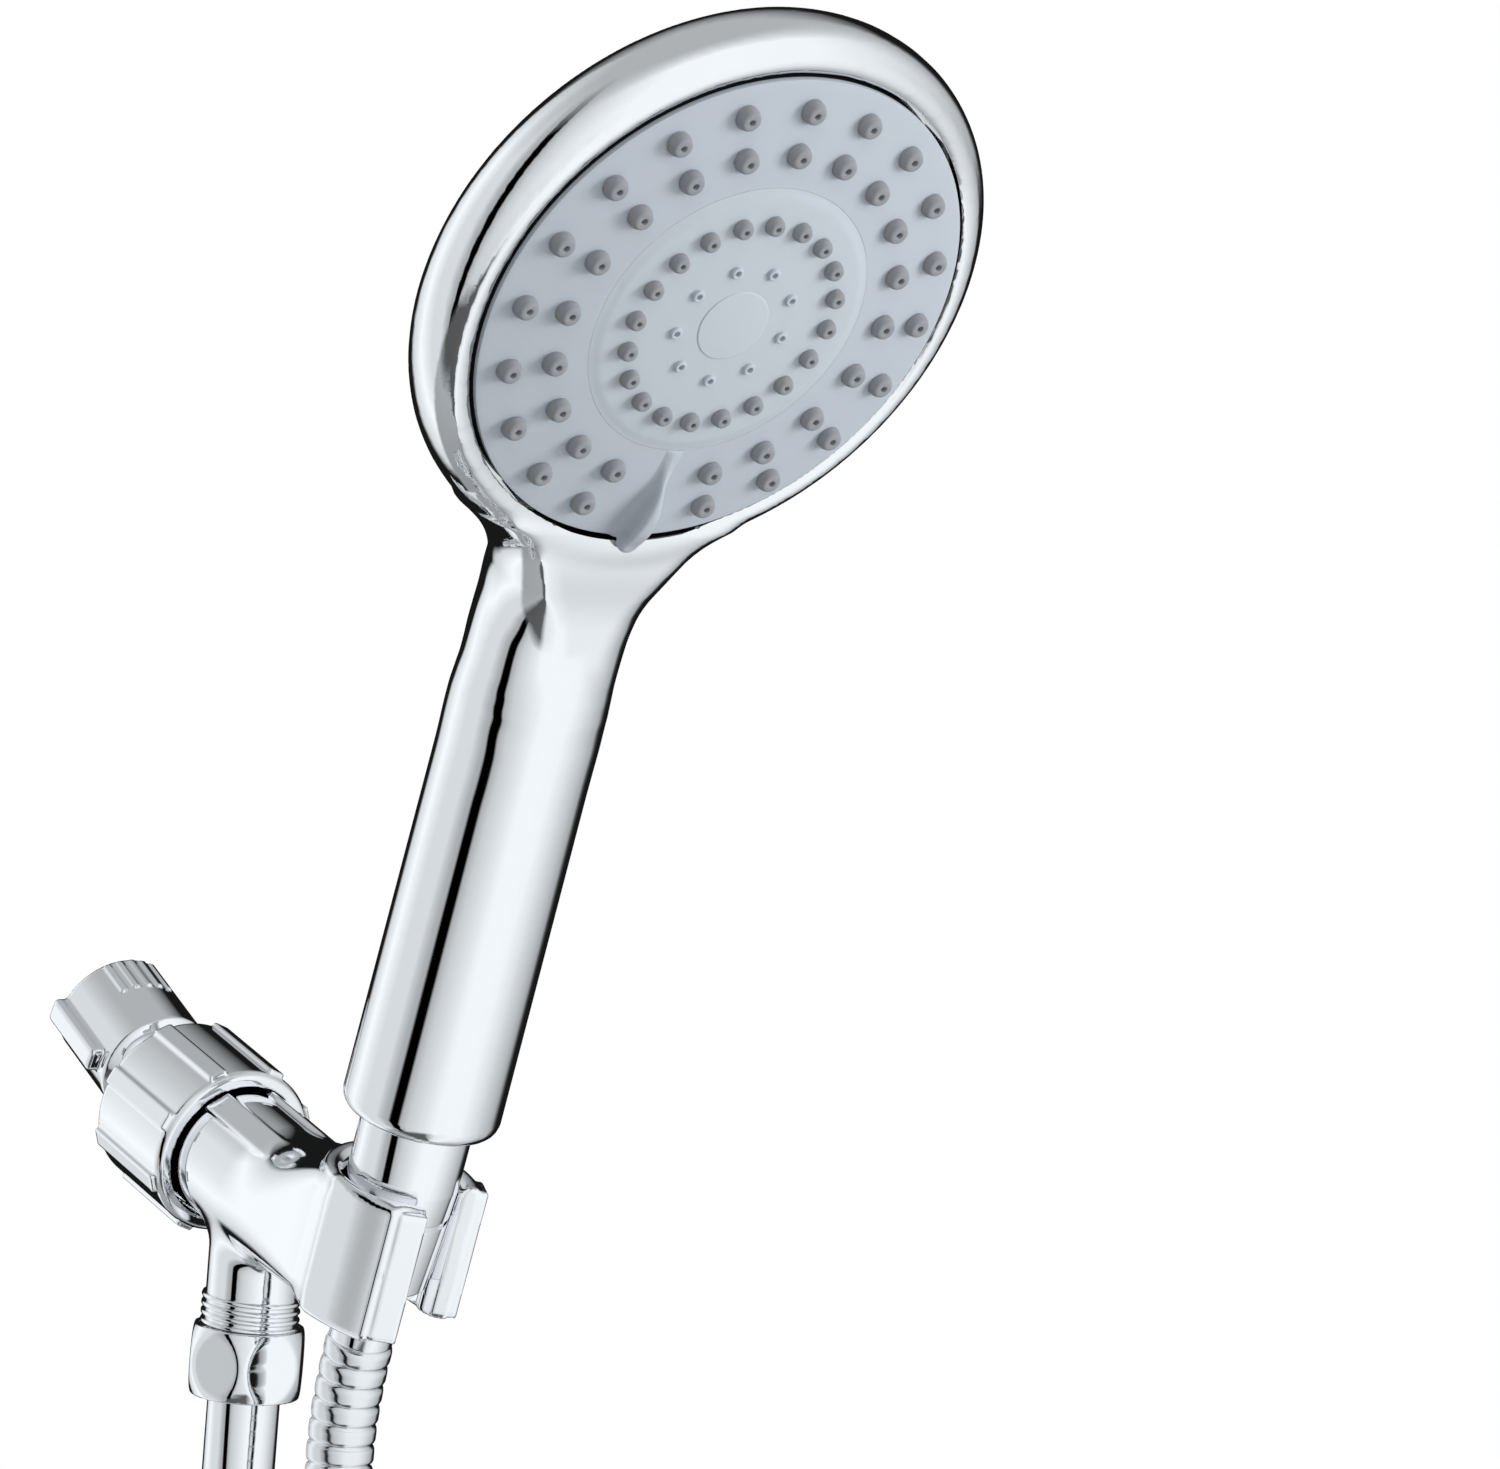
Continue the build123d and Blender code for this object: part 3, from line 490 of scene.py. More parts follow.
def maths(tree, operation, *values):
    node = add_node(tree, "ShaderNodeMath", {"operation": operation})
    for socket, value in zip(node.inputs, values):
        feed(tree, socket, value)
    return node.outputs[0]


def map_range(tree, value, **limits):
    return add_node(tree, "ShaderNodeMapRange", Value=value, **limits).outputs["Result"]


# Materials

# Kinds of surface: metallic, detail of the noise, and the shares of the roughness that it varies between
plated_metal = (1.0, 3.0, 0.7, 1.6)
turned_metal = (1.0, 4.0, 0.7, 1.4)
grained_plastic = (0.0, 4.0, 0.85, 1.15)
grain_strength = 0.15

# Finishes: kind, colour, roughness, scale of the noise and height of its bumps in metres
finishes = {
    "bright_chrome": (plated_metal, "chrome", 0.035, 38.0, 0),
    "hose_chrome": (plated_metal, "hose", 0.12, 38.0, 0),
    "face_plastic": (grained_plastic, "face", 0.36, 1500.0, 0.000008),
    # Painted shade: the near-black finish of the spray face's side wall stands in for the shadow in the gap round the
    # face
    "painted_gap_shade_plastic": (grained_plastic, "painted_gap_shade", 0.6, 900.0, 0.00002),
    "centre_plastic": (grained_plastic, "centre", 0.36, 1500.0, 0.000006),
    "cap_plastic": (grained_plastic, "cap", 0.34, 1500.0, 0.000004),
    "nozzle_rubber": (grained_plastic, "nozzle", 0.55, 1400.0, 0.00004),
    "inner_plastic": (grained_plastic, "inner", 0.45, 500.0, 0.00004),
    "seal_rubber": (grained_plastic, "seal", 0.6, 1200.0, 0.00006),
    "turned_brass": (turned_metal, "brass", 0.28, 120.0, 0),
    "screw_steel": (turned_metal, "steel", 0.3, 120.0, 0),
}


def new_material(name, colour, metallic, roughness):
    material = bpy.data.materials.new(name)
    material.use_nodes = True
    shader = material.node_tree.nodes["Principled BSDF"]
    shader.inputs["Base Color"].default_value = (*colour, 1)
    shader.inputs["Metallic"].default_value = metallic
    shader.inputs["Roughness"].default_value = roughness
    return material


def finish_named(name):
    """One shared material for each finish of the shower."""
    if name in bpy.data.materials:
        return bpy.data.materials[name]
    (metallic, detail, low, high), tint, roughness, scale, bumps = finishes[name]
    material = new_material(name, getattr(bpy.context.scene.shower_finishes, tint), metallic, roughness)
    tree = material.node_tree
    shader = tree.nodes["Principled BSDF"]
    place = tree.nodes.new("ShaderNodeTexCoord")
    noise = add_node(tree, "ShaderNodeTexNoise", Vector=place.outputs["Object"], Scale=scale, Detail=detail)
    limits = {"From_Min": 0.3, "From_Max": 0.7, "To_Min": roughness * low, "To_Max": roughness * high}
    tree.links.new(map_range(tree, noise.outputs["Fac"], **limits), shader.inputs["Roughness"])
    if bumps:
        bump = add_node(
            tree, "ShaderNodeBump", Strength=grain_strength, Distance=bumps, Height=noise.outputs["Fac"]
        )
        tree.links.new(bump.outputs["Normal"], shader.inputs["Normal"])
    return material


# Geometry Nodes


def node_group(name, **inputs):
    """Empty geometry group with a Geometry output, a Geometry input and named numbers as inputs."""
    group = bpy.data.node_groups.new(name, "GeometryNodeTree")
    for way in ("INPUT", "OUTPUT"):
        group.interface.new_socket("Geometry", in_out=way, socket_type="NodeSocketGeometry")
    for label, value in inputs.items():
        kind = "NodeSocketInt" if isinstance(value, int) else "NodeSocketFloat"
        socket = group.interface.new_socket(label, in_out="INPUT", socket_type=kind)
        socket.default_value = value
    return group, group.nodes.new("NodeGroupInput"), group.nodes.new("NodeGroupOutput")


def group_end(group, output, geometry):
    """Real geometry with smooth shading, as the last two nodes of a group."""
    realize = add_node(group, "GeometryNodeRealizeInstances", Geometry=geometry)
    smooth = add_node(group, "GeometryNodeSetShadeSmooth", Geometry=realize.outputs[0])
    group.links.new(smooth.outputs[0], output.inputs[0])


def swept(group, line, sides, radius, **scale):
    """Closed tube along a line, inside a group."""
    circle = add_node(group, "GeometryNodeCurvePrimitiveCircle", Resolution=sides, Radius=radius)
    profile = circle.outputs["Curve"]
    tube = add_node(
        group, "GeometryNodeCurveToMesh", Curve=line, Profile_Curve=profile, Fill_Caps=True, **scale
    )
    return tube.outputs[0]


def grown(name, source, group, **values):
    """Plain mesh piece from a group that runs on an object, which is removed."""
    modifier = source.modifiers.new("grow", "NODES")
    modifier.node_group = group
    for item in group.interface.items_tree:
        if item.in_out == "INPUT" and item.name in values:
            modifier[item.identifier] = values[item.name]
    graph = bpy.context.evaluated_depsgraph_get()
    mesh = bpy.data.meshes.new_from_object(source.evaluated_get(graph), depsgraph=graph)
    mesh.name = name
    bpy.data.objects.remove(source)
    return new_piece(name, mesh)


def rib_group():
    """Ribs along a hose: a tube whose radius rises and falls along its line."""
    group, given, output = node_group("Hose ribs", Pitch=0.0045, Crest=0.007, Depth=0.0009, Sides=28)
    pitch = given.outputs["Pitch"]
    step = maths(group, "DIVIDE", pitch, 9.0)
    line = add_node(
        group, "GeometryNodeResampleCurve", {"mode": "LENGTH"}, Curve=given.outputs["Geometry"], Length=step
    )
    along = group.nodes.new("GeometryNodeSplineParameter")
    turn = maths(group, "FRACT", maths(group, "DIVIDE", along.outputs["Length"], pitch))
    middle = maths(group, "ABSOLUTE", maths(group, "SUBTRACT", turn, 0.5))
    edge = maths(group, "POWER", maths(group, "MULTIPLY", middle, 2.0), 5.0)
    dip = maths(group, "MULTIPLY", edge, given.outputs["Depth"])
    radius = maths(group, "SUBTRACT", given.outputs["Crest"], dip)
    tube = swept(group, line.outputs[0], given.outputs["Sides"], 1.0, Scale=radius)
    group_end(group, output, tube)
    return group


def ring_group():
    """One shape set round a circle, with the first places skipped on request."""
    group, given, output = node_group(
        "Nozzle ring", Count=20, Radius=0.046, Height=0.0, Turn=0.0, Skipped=0
    )
    circle = add_node(
        group, "GeometryNodeMeshCircle", Vertices=given.outputs["Count"], Radius=given.outputs["Radius"]
    )
    shift = add_node(group, "ShaderNodeCombineXYZ", Z=given.outputs["Height"])
    spin = add_node(group, "ShaderNodeCombineXYZ", Z=given.outputs["Turn"])
    placed = add_node(
        group,
        "GeometryNodeTransform",
        Geometry=circle.outputs[0],
        Translation=shift.outputs[0],
        Rotation=spin.outputs[0],
    )
    order = group.nodes.new("GeometryNodeInputIndex")
    kept = add_node(group, "FunctionNodeCompare", {"data_type": "INT", "operation": "GREATER_EQUAL"})
    group.links.new(order.outputs[0], kept.inputs[2])
    group.links.new(given.outputs["Skipped"], kept.inputs[3])
    copies = add_node(
        group,
        "GeometryNodeInstanceOnPoints",
        Points=placed.outputs[0],
        Selection=kept.outputs[0],
        Instance=given.outputs["Geometry"],
    )
    group_end(group, output, copies.outputs[0])
    return group


def thread_group():
    """Thread: a ridge wound round a bar."""
    group, given, output = node_group("Thread", Root=0.0098, Depth=0.00062, Pitch=0.0018, Length=0.0108)
    turns = maths(group, "DIVIDE", given.outputs["Length"], given.outputs["Pitch"])
    winding = add_node(
        group,
        "GeometryNodeCurveSpiral",
        Resolution=96,
        Rotations=turns,
        Start_Radius=given.outputs["Root"],
        End_Radius=given.outputs["Root"],
        Height=given.outputs["Length"],
    )
    group_end(group, output, swept(group, winding.outputs[0], 8, given.outputs["Depth"]))
    return group


# Sizes and colours


def size(label, words, value):
    return FloatProperty(name=label, description=words, default=value, unit="LENGTH")


class ShowerSizes(PropertyGroup):
    """Sizes of the visible shapes."""

    head_radius: size("Head radius", "Outer radius of the head", 0.0607)
    plate_radius: size("Face radius", "Radius of the grey spray face", 0.0527)
    plate_crown: size("Face crown", "How far the spray face bulges", 0.0044)
    centre_radius: size("Centre radius", "Radius of the raised centre", 0.03)
    handle_radius: size("Handle radius", "Radius of the handle at its end", 0.0163)
    neck_blend: size("Neck blend", "Reach of the curve from handle to head", 0.012)
    neck_sweep: size("Neck sweep", "Radius of the neck's widening sides", 0.032)
    lever_height: size("Lever height", "Height of the selector fin over the face", 0.0046)
    nozzle_radius: size("Nozzle radius", "Radius of an outer nozzle", 0.00245)
    small_nozzle_radius: size("Small nozzle radius", "Radius of an inner nozzle", 0.00195)
    hose_radius: size("Hose radius", "Radius over the hose's ribs", 0.007)
    rib_pitch: size("Rib pitch", "Distance between the hose's ribs", 0.0045)
    coil_radius: size("Coil radius", "Radius of the hose's coil", 0.071)
    coil_pitch: size("Coil pitch", "Distance between the coil's turns", 0.0176)
    coil_points: IntProperty(name="Coil points", description="Control points for each turn", default=16)


def colour(label, words, value):
    return FloatVectorProperty(name=label, description=words, default=value, subtype="COLOR", min=0, max=1)


class ShowerFinishes(PropertyGroup):
    """Colours of the finishes."""

    chrome: colour("Chrome", "Plating of the shell, bracket and nuts", (0.88, 0.89, 0.91))
    hose: colour("Hose", "Silver of the ribbed hose", (0.8, 0.81, 0.83))
    face: colour("Face", "Grey of the spray face", (0.48, 0.52, 0.575))
    # Near-black side wall of the grey spray face: painted shade for the dark gap round the face
    painted_gap_shade: colour("Skirt", "Dark side of the spray face, in its gap", (0.01, 0.01, 0.012))
    centre: colour("Centre", "Grey of the raised centre", (0.51, 0.555, 0.605))
    cap: colour("Cap", "Bare centre cap", (0.53, 0.575, 0.62))
    nozzle: colour("Nozzles", "Rubber of the nozzles", (0.15, 0.16, 0.175))
    inner: colour("Inner plastic", "Mouldings inside the head", (0.8, 0.8, 0.77))
    seal: colour("Seals", "Rubber washers and rings", (0.03, 0.03, 0.03))
    brass: colour("Brass", "Turned brass inserts", (0.78, 0.6, 0.3))
    steel: colour("Steel", "Screws, ball and spring", (0.6, 0.6, 0.62))


def mm(length):
    return length * 1000


# Pieces


def arc_points(start, middle, end, steps):
    """Points of a smooth curve that passes a middle point."""
    start, middle, end = (np.array(point, float) for point in (start, middle, end))
    pull = 2 * middle - (start + end) / 2
    shares = np.linspace(0, 1, steps)[:, None]
    curve = start * (1 - shares) ** 2 + 2 * pull * shares * (1 - shares) + end * shares ** 2
    return [tuple(point) for point in curve]


class SHOWER_OT_hand_shower(Operator):
    """Chrome shell: head, neck and handle in one smooth form"""

    bl_idname = "shower.hand_shower"
    bl_label = "Hand shower shell"

    def execute(self, context):
        sizes = context.scene.shower_sizes
        head_r, plate_r = mm(sizes.head_radius), mm(sizes.plate_radius)
        handle_r = mm(sizes.handle_radius)
        reach = mm(sizes.neck_blend)
        crown = (plate_r + 2.4, -0.2)
        slope = (head_r - 3.3, -1.4)
        rim = (head_r, -8.0)
        shoulder = (head_r - 4.7, -17.7)
        head = [(0.0, -1.2), (plate_r - 1, -1.2)]
        head += arc_points((plate_r, -1.2), (plate_r + 1.0, -0.42), crown, 5)
        head += arc_points(crown, (head_r - 4.35, -0.55), slope, 6)[1:]
        head += arc_points(slope, (head_r - 0.95, -4.05), rim, 9)[1:]
        head += arc_points(rim, (head_r - 1.2, -13.5), shoulder, 7)[1:]
        head += arc_points(shoulder, (29.0, -29.1), (0.0, -33.0), 44)[1:]
        handle = [(0.0, 0.0), (handle_r - 2.5, 0.0)]
        handle += arc_points((handle_r - 2.5, 0.0), (handle_r - 0.73, 0.73), (handle_r, 2.5), 6)[1:]
        handle += arc_points((handle_r - 0.4, 88.0), (handle_r - 1.7, 102.0), (handle_r - 7.0, 114.0), 8)
        handle += [(0.0, 118.0)]
        to_face = between(handle_frame, face_frame)
        axis_point, axis_going = to_face[1], to_face[0][:, 2]
        neck_r = handle_r - 0.5
        # Along the face's Y, from its centre: where the neck starts, thins, and meets the rim
        neck_start, waist, rim_end = -135.0, (-102.0, -78.0), (-74.0, -56.0)
        flat_back, waist_depth, edge_sink = -22.4, 2.5, 2.6
        spine_r, spine_ends, spine_edge = 10.4, (96.0, 166.0), 9.5
        sweep = mm(sizes.neck_sweep)
        sweep_x = neck_r + sweep
        sweep_y = -math.sqrt((head_r + sweep) ** 2 - sweep_x ** 2)
        climb_end = -sweep_y * sweep / (head_r + sweep)
        rim_y = sweep_y + climb_end

        def neck(seen):
            """Flat web from the handle to the rim, whose edges are arcs that touch both."""
            x, y, z = seen.T
            axis_z = axis_point[2] + (y - axis_point[1]) * axis_going[2] / axis_going[1]
            thick = neck_r / axis_going[1]
            front = axis_z + thick - waist_depth * ease(*waist, y) * (1 - ease(*rim_end, y))
            back = axis_z - thick
            back = back + (flat_back - back) * ease(-112.0, -88.0, y) + 4.4 * ease(*rim_end, y)
            deep = (front - back) / 2
            climb = np.clip(y - sweep_y, 0, climb_end)
            wide = sweep_x - np.sqrt(sweep ** 2 - climb ** 2) - edge_sink * ease(rim_y - 15.0, rim_y, y)
            corner = np.minimum(deep - ease(-95.0, -70.0, y), wide)
            gap_x = np.abs(x) - wide + corner
            gap_z = np.abs(z - (front + back) / 2) - deep + corner
            section = rounded(gap_x, gap_z, corner)
            sunk = 1.5 * (1 - ease(neck_start, -98.0, y))
            return np.maximum(section + sunk, np.maximum(y - rim_y, neck_start - y))

        def field(points):
            seen = moved(points, to_face)
            inward = ease(-2.0, -14.0, seen[:, 2])
            body = smooth_min(outline_distance(points, handle), neck(seen), 0.6)
            body = smooth_min(body, outline_distance(seen, head), 4.0 + (reach - 4.0) * inward)
            spine = rod_distance(points, spine_r, *spine_ends, spine_edge)
            body = smooth_min(body, spine, 2.0 + 8.0 * ease(-12.0, -20.0, seen[:, 2]))
            return smooth_max(body, -rod_distance(points, handle_r - 3.0, -5.0, 3.0), 0.3)

        shell = moulded("handle_shell_chrome", field, (-64, -64, -4), (64, 34, 250), 1.0, handle_frame)
        room = [(0, -9.5), (plate_r + 0.4, -9.5), (plate_r + 0.4, 9), (0, 9)]
        cutter = lathed("face_room", room, face_frame, 256)
        cut = shell.modifiers.new("face room", "BOOLEAN")
        cut.object = cutter
        cut.solver = "EXACT"
        graph = context.evaluated_depsgraph_get()
        mesh = bpy.data.meshes.new_from_object(shell.evaluated_get(graph), depsgraph=graph)
        shell.modifiers.clear()
        shell.data = mesh
        bpy.data.objects.remove(cutter)
        mesh.shade_smooth()
        mesh.set_sharp_from_angle(angle=math.radians(42))
        finished(shell, "hand_shower", "chrome_plastic", "bright_chrome", "handle_shell")
        return {"FINISHED"}


# Height of the raised centre over the spray face, in millimetres
centre_rise = 0.35


def dome_height(radius, sizes):
    """Height of the spray face at a radius, in millimetres."""
    plate_r, crown = mm(sizes.plate_radius), mm(sizes.plate_crown)
    ball = plate_r ** 2 / (2 * crown) + crown / 2
    return crown - ball + np.sqrt(ball ** 2 - np.asarray(radius, float) ** 2)


class SHOWER_OT_spray_face(Operator):
    """Grey face with its fin, raised centre and bare cap"""

    bl_idname = "shower.spray_face"
    bl_label = "Spray face"

    def execute(self, context):
        sizes = context.scene.shower_sizes
        plate_r, centre_r = mm(sizes.plate_radius), mm(sizes.centre_radius)

        def dome(radius):
            return float(dome_height(radius, sizes))

        rim = plate_r - 0.5
        wall, skin = 2.2, 2.4
        steps = np.linspace(centre_r + 0.05, rim - 0.4, 24)
        plate = [(centre_r + 0.05, dome(centre_r) - skin)]
        plate += [(r, dome(r)) for r in steps]
        plate += [(rim - 0.1, dome(rim - 0.4) - 0.1), (rim, -0.45), (rim, -0.9), (rim - wall, -0.9)]
        plate += [(rim - wall, dome(rim - wall) - skin)]
        # Side wall of the face, coloured near-black as painted shade for the gap round the face
        painted_gap_shade = [(rim - wall, -6.0), (rim, -6.0), (rim, -0.9), (rim - wall, -0.9)]

        top = dome(0) + centre_rise
        steps = np.linspace(0, centre_r, 60)
        centre = [(0.0, top - skin)]
        centre += [(r, dome(r) + centre_rise * float(ease(centre_r, centre_r - 2.5, r))) for r in steps]
        centre += [(centre_r, dome(centre_r) - 2.0)]
        cap_r, low, high = 7.7, top - 1.0, top + 0.12
        cap = softened([(0, low, 0), (cap_r, low, 0), (cap_r, high), (0, high, 0)], 0.35)
        turnings = (
            ("face_plate_grey", plate, 224, "face_grey", "face_plastic", "face_plate"),
            ("face_plate_painted_gap_shade", painted_gap_shade, 224, "face_grey", "painted_gap_shade_plastic", "face_plate"),
            # The face's side wall, with its near-black painted shade for the gap
            ("centre_plate_grey", centre, 192, "face_grey", "centre_plastic", "centre_plate"),
            ("centre_cap_bare", cap, 128, "cap_silver", "cap_plastic", "centre_cap"),
        )
        for name, outline, segments, slot, finish, node in turnings:
            finished(lathed(name, outline, face_frame, segments), "spray_face", slot, finish, node)
        height = mm(sizes.lever_height)

        def field(points):
            radius = -points[:, 1]
            side = np.hypot(points[:, 0], points[:, 1])
            ground = points[:, 2] - dome_height(np.minimum(side, plate_r), sizes)
            crest = height * ease(30.5, 46.0, radius) - 1.9 * ease(48.0, 56.0, radius)
            width = 0.5 + 1.7 * ease(34.0, 52.0, radius)
            lean = 0.9 * (1 - ease(38.0, 54.0, radius))
            flank = np.abs(points[:, 0] - lean) - width
            over = ground - crest
            fin = smooth_max(flank, over, 1.4)
            nose = np.hypot(points[:, 0] - lean, np.maximum(radius - 52.2, 0)) - 2.6
            fin = smooth_max(fin, np.where(radius > 50.0, nose, -9.0), 1.0)
            fin = smooth_max(fin, 31.0 - radius, 1.0)
            under = np.where(side > plate_r - 0.6, 1.2 - points[:, 2], -9.0)
            fin = smooth_max(fin, under, 0.6)
            skin = np.maximum(ground + 0.15, side - plate_r + 0.5)
            body = smooth_min(fin, skin, 2.6)
            edge = box_distance(points, (0, -44.5, 4.0), (8.5, 14.5, 9.0), 1.0)
            return np.maximum(np.maximum(body, edge), -ground - 1.2 - 6.0 * (side > plate_r - 0.5))

        fin = moulded("selector_fin", field, (-10, -60, -3), (10, -28, 13), 0.35, face_frame)
        finished(fin, "spray_face", "face_grey", "face_plastic", "face_plate")
        return {"FINISHED"}


class SHOWER_OT_nozzles(Operator):
    """Rubber nozzles in their rings, and the collars of the massage jets"""

    bl_idname = "shower.nozzles"
    bl_label = "Nozzles"

    def execute(self, context):
        sizes = context.scene.shower_sizes
        group = ring_group()
        wide, small = mm(sizes.nozzle_radius), mm(sizes.small_nozzle_radius)

        def tip(radius, height):
            corners = [
                (0, -2.0, 0),
                (radius, -2.0, 0),
                (radius, height * 0.35, 0.5),
                (radius * 0.8, height, 0.8),
                (radius * 0.28, height, 0.15),
                (radius * 0.2, height - 1.0, 0),
                (0, height - 1.0, 0),
            ]
            return softened(corners, steps=4)

        jet = [(0, -1.5, 0), (1.35, -1.5, 0), (1.25, 0.75), (0.62, 0.75, 0.15), (0.5, -0.6, 0), (0, -0.6, 0)]
        outer, inner = tip(wide, 2.2), tip(small, 1.9)
        rubber = ("nozzle_rubber", "nozzle_rubber")
        grey = ("face_grey", "centre_plastic")
        rows = (
            ("nozzles_46", outer, 20, 46.0, 0.0, 1, *rubber, "outer_nozzles"),
            ("nozzles_37", outer, 20, 37.0, 0.0, 1, *rubber, "outer_nozzles"),
            ("nozzles_22", inner, 20, 22.4, centre_rise, 0, *rubber, "inner_nozzles"),
            ("massage_jets", softened(jet, 0.35, 4), 9, 12.6, centre_rise, 0, *grey, "centre_plate"),
        )
        for name, outline, count, radius, rise, skipped, slot, finish, node in rows:
            row = grown(
                name,
                lathed(name + "_one", outline, Matrix.Identity(4), 20),
                group,
                Count=count,
                Radius=radius * 0.001,
                Height=(float(dome_height(radius, sizes)) + rise) * 0.001,
                Turn=-math.pi / 2,
                Skipped=skipped,
            )
            row.data.transform(face_frame)
            finished(row, "spray_face", slot, finish, node)
        return {"FINISHED"}


class SHOWER_OT_bracket(Operator):
    """Bracket: barrel, cradle with its open front, and threaded outlet"""

    bl_idname = "shower.bracket"
    bl_label = "Bracket"

    def execute(self, context):
        to_handle = between(ball_frame, handle_frame)
        to_outlet = between(ball_frame, outlet_frame)
        barrel_r, cradle_r, cone_r = 14.25, 16.3, 11.5
        top, bottom = -13.8, -43.8
        middle = (top + bottom) / 2
        slot_turn, slot_half, jaw_turn = 23.5, math.radians(36.5), 47.1

        def cone(height):
            return cone_r - 1.3 * np.clip((top - height) / 22.7, 0, 1)

        def field(points):
            x, y, z = points.T
            share = ease(34.0, 75.0, z)
            half_x = barrel_r + (cradle_r - barrel_r) * share
            half_y = barrel_r + 0.6 * share
            corner = barrel_r - 9.5 * share
            gap_x = np.abs(x) - half_x + corner
            gap_y = np.abs(y - 7.9 * share) - half_y + corner
            body = smooth_max(rounded(gap_x, gap_y, corner), np.abs(z - 40.0) - 35.0, 1.0)
            seat = moved(points, to_handle)
            body = smooth_min(body, rod_distance(seat, cradle_r, bottom, top, 1.2), 1.0)
            cheek = box_distance(turned_by(seat, 19.5), (-10.7, -2.3, middle), (4.7, 8.2, 15.0), 1.2)
            body = smooth_min(body, cheek, 2.0)
            pipe = rod_distance(moved(points, to_outlet), 9.6, 0.0, 36.0, 0.5)
            body = smooth_min(body, pipe, 4.0)
            for side in (-1, 1):
                beside = turned_by(points, side * 31.0)
                rib = box_distance(beside, (0, barrel_r, 30.7), (3.0, 0.95, 13.5), 0.6)
                body = smooth_min(body, rib, 0.6)
                jaw = turned_by(seat, slot_turn - 90 + side * jaw_turn)
                bar = box_distance(jaw, (cradle_r, 0, middle), (1.5, 3.0, 14.4), 0.6)
                body = smooth_min(body, bar, 0.3)
            radius = np.hypot(seat[:, 0], seat[:, 1])
            cup = radius - cone(seat[:, 2]) - 0.3
            mouth = radius - cone(top) - 2.3 + (top - seat[:, 2])
            body = smooth_max(body, -smooth_min(cup, mouth, 0.6), 0.6)
            front = turned_by(seat, slot_turn)
            wedge = np.abs(front[:, 0]) * math.cos(slot_half) + front[:, 1] * math.sin(slot_half)
            slot = np.maximum(np.abs(front[:, 0]) - 7.7, front[:, 1])
            return smooth_max(body, -np.minimum(wedge, slot), 0.8)

        body = moulded("bracket_chrome", field, (-22, -38, 3), (22, 30, 98), 0.6, ball_frame)
        finished(body, "bracket", "chrome_plastic", "bright_chrome", "bracket_body")
        seed = new_piece("thread_seed", bpy.data.meshes.new("thread_seed"))
        thread = grown("outlet_thread", seed, thread_group())
        thread.data.transform(outlet_frame @ Matrix.Translation((0, 0, 0.0246)))
        finished(thread, "bracket", "chrome_plastic", "bright_chrome", "bracket_body")
        return {"FINISHED"}


class SHOWER_OT_ball_joint(Operator):
    """Ribbed coupling nut and the winged socket behind it"""

    bl_idname = "shower.ball_joint"
    bl_label = "Ball joint"

    def execute(self, context):
        nut = [(15.2, -1.3, 0.2), (15.2, 16.9, 0.3), (17.4, 16.9, 0.8), (18.3, 15.6, 0.8), (18.3, -8.6, 0.8)]
        nut += [(17.3, -10.0, 0.6), (15.5, -10.0, 0.5), (9.6, -5.0, 0.3), (10.7, -1.3, 0.2)]
        nut = softened(nut)

        def nut_field(points):
            rib = box_distance(folded(points, 8, 22.5), (18.3, 0, 3.45), (0.95, 2.1, 12.0), 0.45)
            return smooth_min(outline_distance(points, nut), rib, 0.4)

        piece = moulded("coupling_nut_chrome", nut_field, (-21, -21, -12), (21, 21, 19), 0.45, ball_frame)
        finished(piece, "clamp_nut", "chrome_plastic", "bright_chrome", "coupling_nut")

        collar = [(0, -8.8, 0), (5.7, -8.8, 0.3)]
        collar += [(10.5 * math.cos(a), 10.5 * math.sin(a), 0) for a in np.linspace(-0.95, 0.95, 15)]
        collar += [(6.0, 9.5, 0.8), (6.0, 13.0, 1.0), (12.5, 19.0, 1.0), (12.5, 40.4, 0.8)]
        collar += [(10.3, 40.4, 0.3), (10.3, 22.4, 0), (0, 22.4, 0)]
        collar = softened(collar)

        def collar_field(points):
            mirrored = np.stack((np.abs(points[:, 0]), points[:, 1], points[:, 2]), axis=1)
            wing = box_distance(mirrored, (12.9, 0, 30.7), (2.3, 2.75, 9.7), 1.1)
            body = smooth_min(outline_distance(points, collar), wing, 0.8)
            for side in (90, -90):
                for index in range(5):
                    angle = side + (index - 2) * 13.0
                    rib = box_distance(turned_by(points, angle), (12.5, 0, 35.0), (0.5, 0.75, 4.6), 0.25)
                    body = smooth_min(body, rib, 0.3)
            return body

        room = ((-17, -15, -11), (17, 15, 43))
        piece = moulded("ball_adapter_chrome", collar_field, *room, 0.45, adapter_frame)
        finished(piece, "adapter", "chrome_plastic", "bright_chrome", "ball_adapter")
        return {"FINISHED"}


